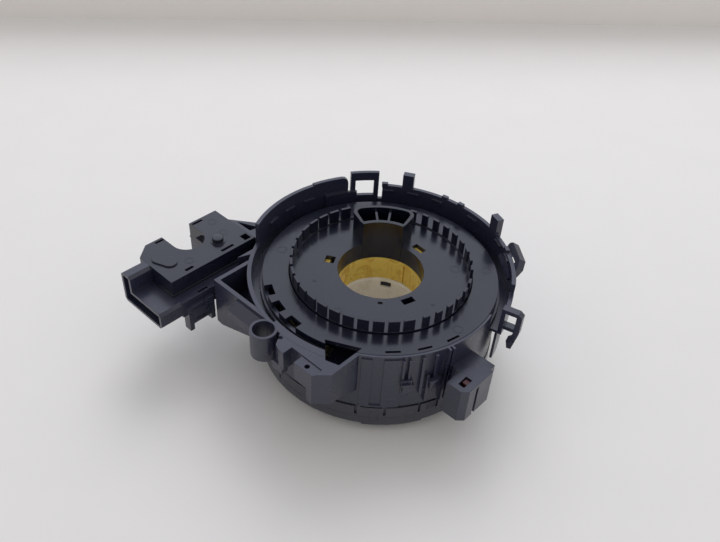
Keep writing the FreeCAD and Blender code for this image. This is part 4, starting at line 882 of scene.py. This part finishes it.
@dataclass(frozen=True)
class ArmDetails:
    """Ejector marks and a boss's dome on the arm's cover, and the grip ridges on its plug's latch."""

    marks: tuple[Pair, ...] = ((-29.5, 71.5), (-52.5, 57.2), (-30.6, 62.5))
    mark_radius: float = 1.7
    mark_bead: float = 0.08
    boss: Point = (-36.0, 59.6, DECK + 1.8)
    boss_radius: float = 2.35
    boss_rise: float = 0.3
    latch_x: Pair = (-62.2, -53.8)
    latch_y: float = 43.9
    ridge_heights: tuple[float, ...] = (23.6, 24.5, 25.4, 26.3)
    ridge_bead: float = 0.22
    ridge_steps: int = 10

    def build(self, wardrobe: Wardrobe) -> None:
        """Makes the pieces.

        Args:
            wardrobe: gives the finishes.
        """
        cover = DetailGroup(wardrobe, Body.STATOR, DISC_PBT)
        cover.add("arm_ejector_marks", [Surfaces.pin_mark(spot, self.mark_radius, self.mark_bead)
                                        for spot in self.marks])
        cover.add("arm_boss_dome", [Surfaces.dome(self.boss, self.boss_radius, self.boss_rise)])
        tray = DetailGroup(wardrobe, Body.STATOR, HOUSING_PBT)
        tray.add("latch_ridges", [self.ridge(height) for height in self.ridge_heights])

    def ridge(self, height: float) -> Patch:
        """Makes one level ridge across the latch: a bead along x that faces the front.

        Args:
            height: where it lies.

        Returns:
            The ridge's grid.
        """
        x = np.linspace(*self.latch_x, self.ridge_steps)
        path = np.stack([x, np.full_like(x, self.latch_y), np.full_like(x, height)], -1)
        front = np.tile(np.array([0.0, -1.0, 0.0]), (self.ridge_steps, 1))
        return Surfaces.bead(path, front, self.ridge_bead, False)


@dataclass(frozen=True)
class BoreDetails:
    """What shows in the bore: the sleeve's thicker panels and ribs, the ring's seam and painted slot
    shadows.

    A panel is its azimuth and half of the angle that it spans.
    """

    sleeve: float = 17.2
    sleeve_bead: float = 0.16
    bead_height: float = 24.2
    ribs: tuple[float, ...] = (97.0, 58.0, 24.0, 350.0)
    rib_heights: Pair = (24.4, 33.4)
    panels: tuple[Pair, ...] = ((78.0, 15.0), (41.0, 13.0), (15.5, 6.0))
    panel_height: float = 28.9
    panel_half_height: float = 4.0
    panel_rise: float = -0.14
    ring: float = 16.7
    seam_height: float = 18.2
    seam_bead: float = 0.09
    # Azimuths of dark pads on the white ring: painted shadows of slots that the ring's model lacks.
    painted_slot_shadows: tuple[float, ...] = (29.0, 150.0, 270.0)
    painted_shadow_height: float = 20.3
    # Shape of each painted slot shadow: a thin dark pad, 16 degrees wide and 2 mm high.
    latch: PadShape = PadShape(8.0, 1.0, -0.12)
    round_steps: int = 160

    def build(self, wardrobe: Wardrobe) -> None:
        """Makes the pieces.

        Args:
            wardrobe: gives the finishes.
        """
        amber = DetailGroup(wardrobe, Body.ROTOR, AMBER_POM)
        pale = DetailGroup(wardrobe, Body.ROTOR, WHITE_POM)
        shadow_pads = DetailGroup(wardrobe, Body.ROTOR, DISC_PBT)
        amber.add("sleeve_bead", [Surfaces.hoop(self.sleeve, self.bead_height, self.sleeve_bead,
                                                self.round_steps)])
        amber.add("sleeve_guide_ribs", [Surfaces.rib(self.sleeve, azimuth, self.rib_heights,
                                                     self.sleeve_bead, steps=14)
                                        for azimuth in self.ribs])
        amber.add("sleeve_panels", [Surfaces.pad(self.sleeve, azimuth, self.panel_height,
                                                 PadShape(half, self.panel_half_height, self.panel_rise))
                                    for azimuth, half in self.panels])
        pale.add("ring_seam", [Surfaces.hoop(self.ring, self.seam_height, self.seam_bead,
                                             self.round_steps)])
        # Painted shadow: dark pads where the ring's slots would lie in shade.
        shadow_pads.add("ring_painted_slot_shadows", [Surfaces.pad(self.ring, azimuth, self.painted_shadow_height, self.latch)
                                  for azimuth in self.painted_slot_shadows])


@dataclass(frozen=True)
class Lamp:
    """A square soft lamp that looks at the object: its place and side in metres, and power in watts."""

    name: str
    place: Point
    side: float
    power: float
    tint: str
    mirrored: bool = True

    def hang(self) -> None:
        """Adds the lamp; one that isn't mirrored gives light but is left out of reflections."""
        data = bpy.data.lights.new(self.name, "AREA")
        data.energy = self.power
        data.size = self.side
        data.color = linear(self.tint)[:3]
        lamp = bpy.data.objects.new(self.name, data)
        away = Vector(self.place)
        lamp.matrix_world = Matrix.Translation(away) @ away.to_track_quat("Z", "Y").to_matrix().to_4x4()
        lamp.visible_glossy = self.mirrored
        bpy.context.scene.collection.objects.link(lamp)


@dataclass(frozen=True)
class Studio:
    """The pale table, the low wall behind it, the soft lamps and the camera.

    The camera's place and axes were solved from points on the discs. wall_foot is where the wall's
    foot leaves the picture at the left and at the right, in pixels from its upper left corner.
    """

    eye: Point = (-0.18296, -0.14628, 0.23825)
    right: Point = (0.68325, -0.72841, 0.05088)
    up: Point = (0.44483, 0.47048, 0.76208)
    back: Point = (-0.57905, -0.49806, 0.64547)
    lens_mm: float = 37.5
    sensor_mm: float = 36.0
    nearest: float = 0.005
    picture: tuple[int, int] = (720, 542)
    wall_foot: tuple[Pair, Pair] = ((0, 17), (720, 26))
    wall_height: float = 0.09
    reach: float = 1.6
    table: str = "F0EFEE"
    wall: str = "F4F0EC"
    table_mottle: Mottle = Mottle(30.0, 3.0)
    wall_mottle: Mottle = Mottle(60.0, 3.0)
    mottle_shade: Point = (0.965, 0.965, 0.97)
    board_roughness: float = 0.6
    sky: str = "FFFDFB"
    sky_strength: float = 0.6
    lamps: tuple[Lamp, ...] = (Lamp("key", (0.75, 0.65, 1.05), 0.8, 5.4, "FFFBF2", mirrored=False),
                               Lamp("ceiling", (0.92, 0.78, 1.05), 1.9, 8.0, "D6E1FF"))

    def camera(self) -> None:
        """Sets the camera where the photograph was taken from."""
        data = bpy.data.cameras.new("camera")
        data.lens = self.lens_mm
        data.sensor_width = self.sensor_mm
        data.clip_start = self.nearest
        eye = bpy.data.objects.new("camera", data)
        columns = [Vector(self.right), Vector(self.up), Vector(self.back)]
        turn = Matrix([[column[row] for column in columns] for row in range(3)]).to_4x4()
        eye.matrix_world = Matrix.Translation(Vector(self.eye)) @ turn
        bpy.context.scene.collection.objects.link(eye)
        bpy.context.scene.camera = eye

    def floor_point(self, column: float, row: float) -> Vector:
        """Gives the floor's point under a picture point.

        Args:
            column: pixels from the picture's left.
            row: pixels from its top.

        Returns:
            The point where the ray through that pixel meets the floor.
        """
        width, height = self.picture
        pixels = self.lens_mm / self.sensor_mm * width
        ray = (Vector(self.right) * (column - width / 2) / pixels
               - Vector(self.up) * (row - height / 2) / pixels - Vector(self.back))
        return Vector(self.eye) - ray * (self.eye[2] / ray.z)

    def plain(self, name: str, colour: str, mottle: Mottle) -> bpy.types.Material:
        """Builds a matt painted board: even colour with a barely visible mottle.

        Args:
            name: the material's name.
            colour: its sRGB hex colour.
            mottle: the pattern of the mottle.

        Returns:
            The material.
        """
        make = Shader(name)
        even = linear(colour)
        dimmed = tuple(part * share for part, share in zip(even, self.mottle_shade)) + (1.0,)
        tone = make.add("Mix", {"data_type": "RGBA", 6: even, 7: dimmed}, {0: make.noise(mottle)})
        make.feed("Base Color", tone.outputs[2])
        make.surface.inputs["Roughness"].default_value = self.board_roughness
        return make.material

    def board(self, name: str, corners: list[Vector], material: bpy.types.Material) -> None:
        """Adds a flat board of the stage.

        Args:
            name: the object's name.
            corners: its four corners in order.
            material: its finish.
        """
        mesh = bpy.data.meshes.new(name)
        mesh.from_pydata([tuple(corner) for corner in corners], [], [(0, 1, 2, 3)])
        mesh.materials.append(material)
        piece = bpy.data.objects.new(name, mesh)
        bpy.context.scene.collection.objects.link(piece)

    def stage(self) -> None:
        """Lays the table and stands the wall where the photograph shows its foot."""
        left, right = (self.floor_point(*foot) for foot in self.wall_foot)
        along = (right - left).normalized()
        away = Vector((-along.y, along.x, 0.0))
        near, far = left - along * self.reach, right + along * self.reach
        front = away * 2 * self.reach
        tall = Vector((0, 0, self.wall_height))
        self.board("table", [near - front, far - front, far, near],
                   self.plain("laminate_matt_white", self.table, self.table_mottle))
        self.board("wall", [near, far, far + tall, near + tall],
                   self.plain("paint_matt_grey", self.wall, self.wall_mottle))

    def lights(self) -> None:
        """Hangs the lamps and sets the world's soft fill."""
        world = bpy.data.worlds.new("room")
        bpy.context.scene.world = world
        world.use_nodes = True
        sky = world.node_tree.nodes["Background"]
        sky.inputs[0].default_value = linear(self.sky)
        sky.inputs[1].default_value = self.sky_strength
        for lamp in self.lamps:
            lamp.hang()

    def build(self) -> None:
        """Sets up the whole studio."""
        self.camera()
        self.stage()
        self.lights()
        bpy.context.scene.view_settings.view_transform = "Standard"


def main() -> None:
    """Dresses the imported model, adds the fine pieces and sets the stage."""
    logging.basicConfig(level=logging.INFO, format="%(name)s: %(message)s")
    wardrobe = Wardrobe()
    wardrobe.dress_frame()
    for details in (DiscDetails(), HousingDetails(), ArmDetails(), BoreDetails()):
        details.build(wardrobe)
    Studio().build()


if __name__ == "__main__":
    main()
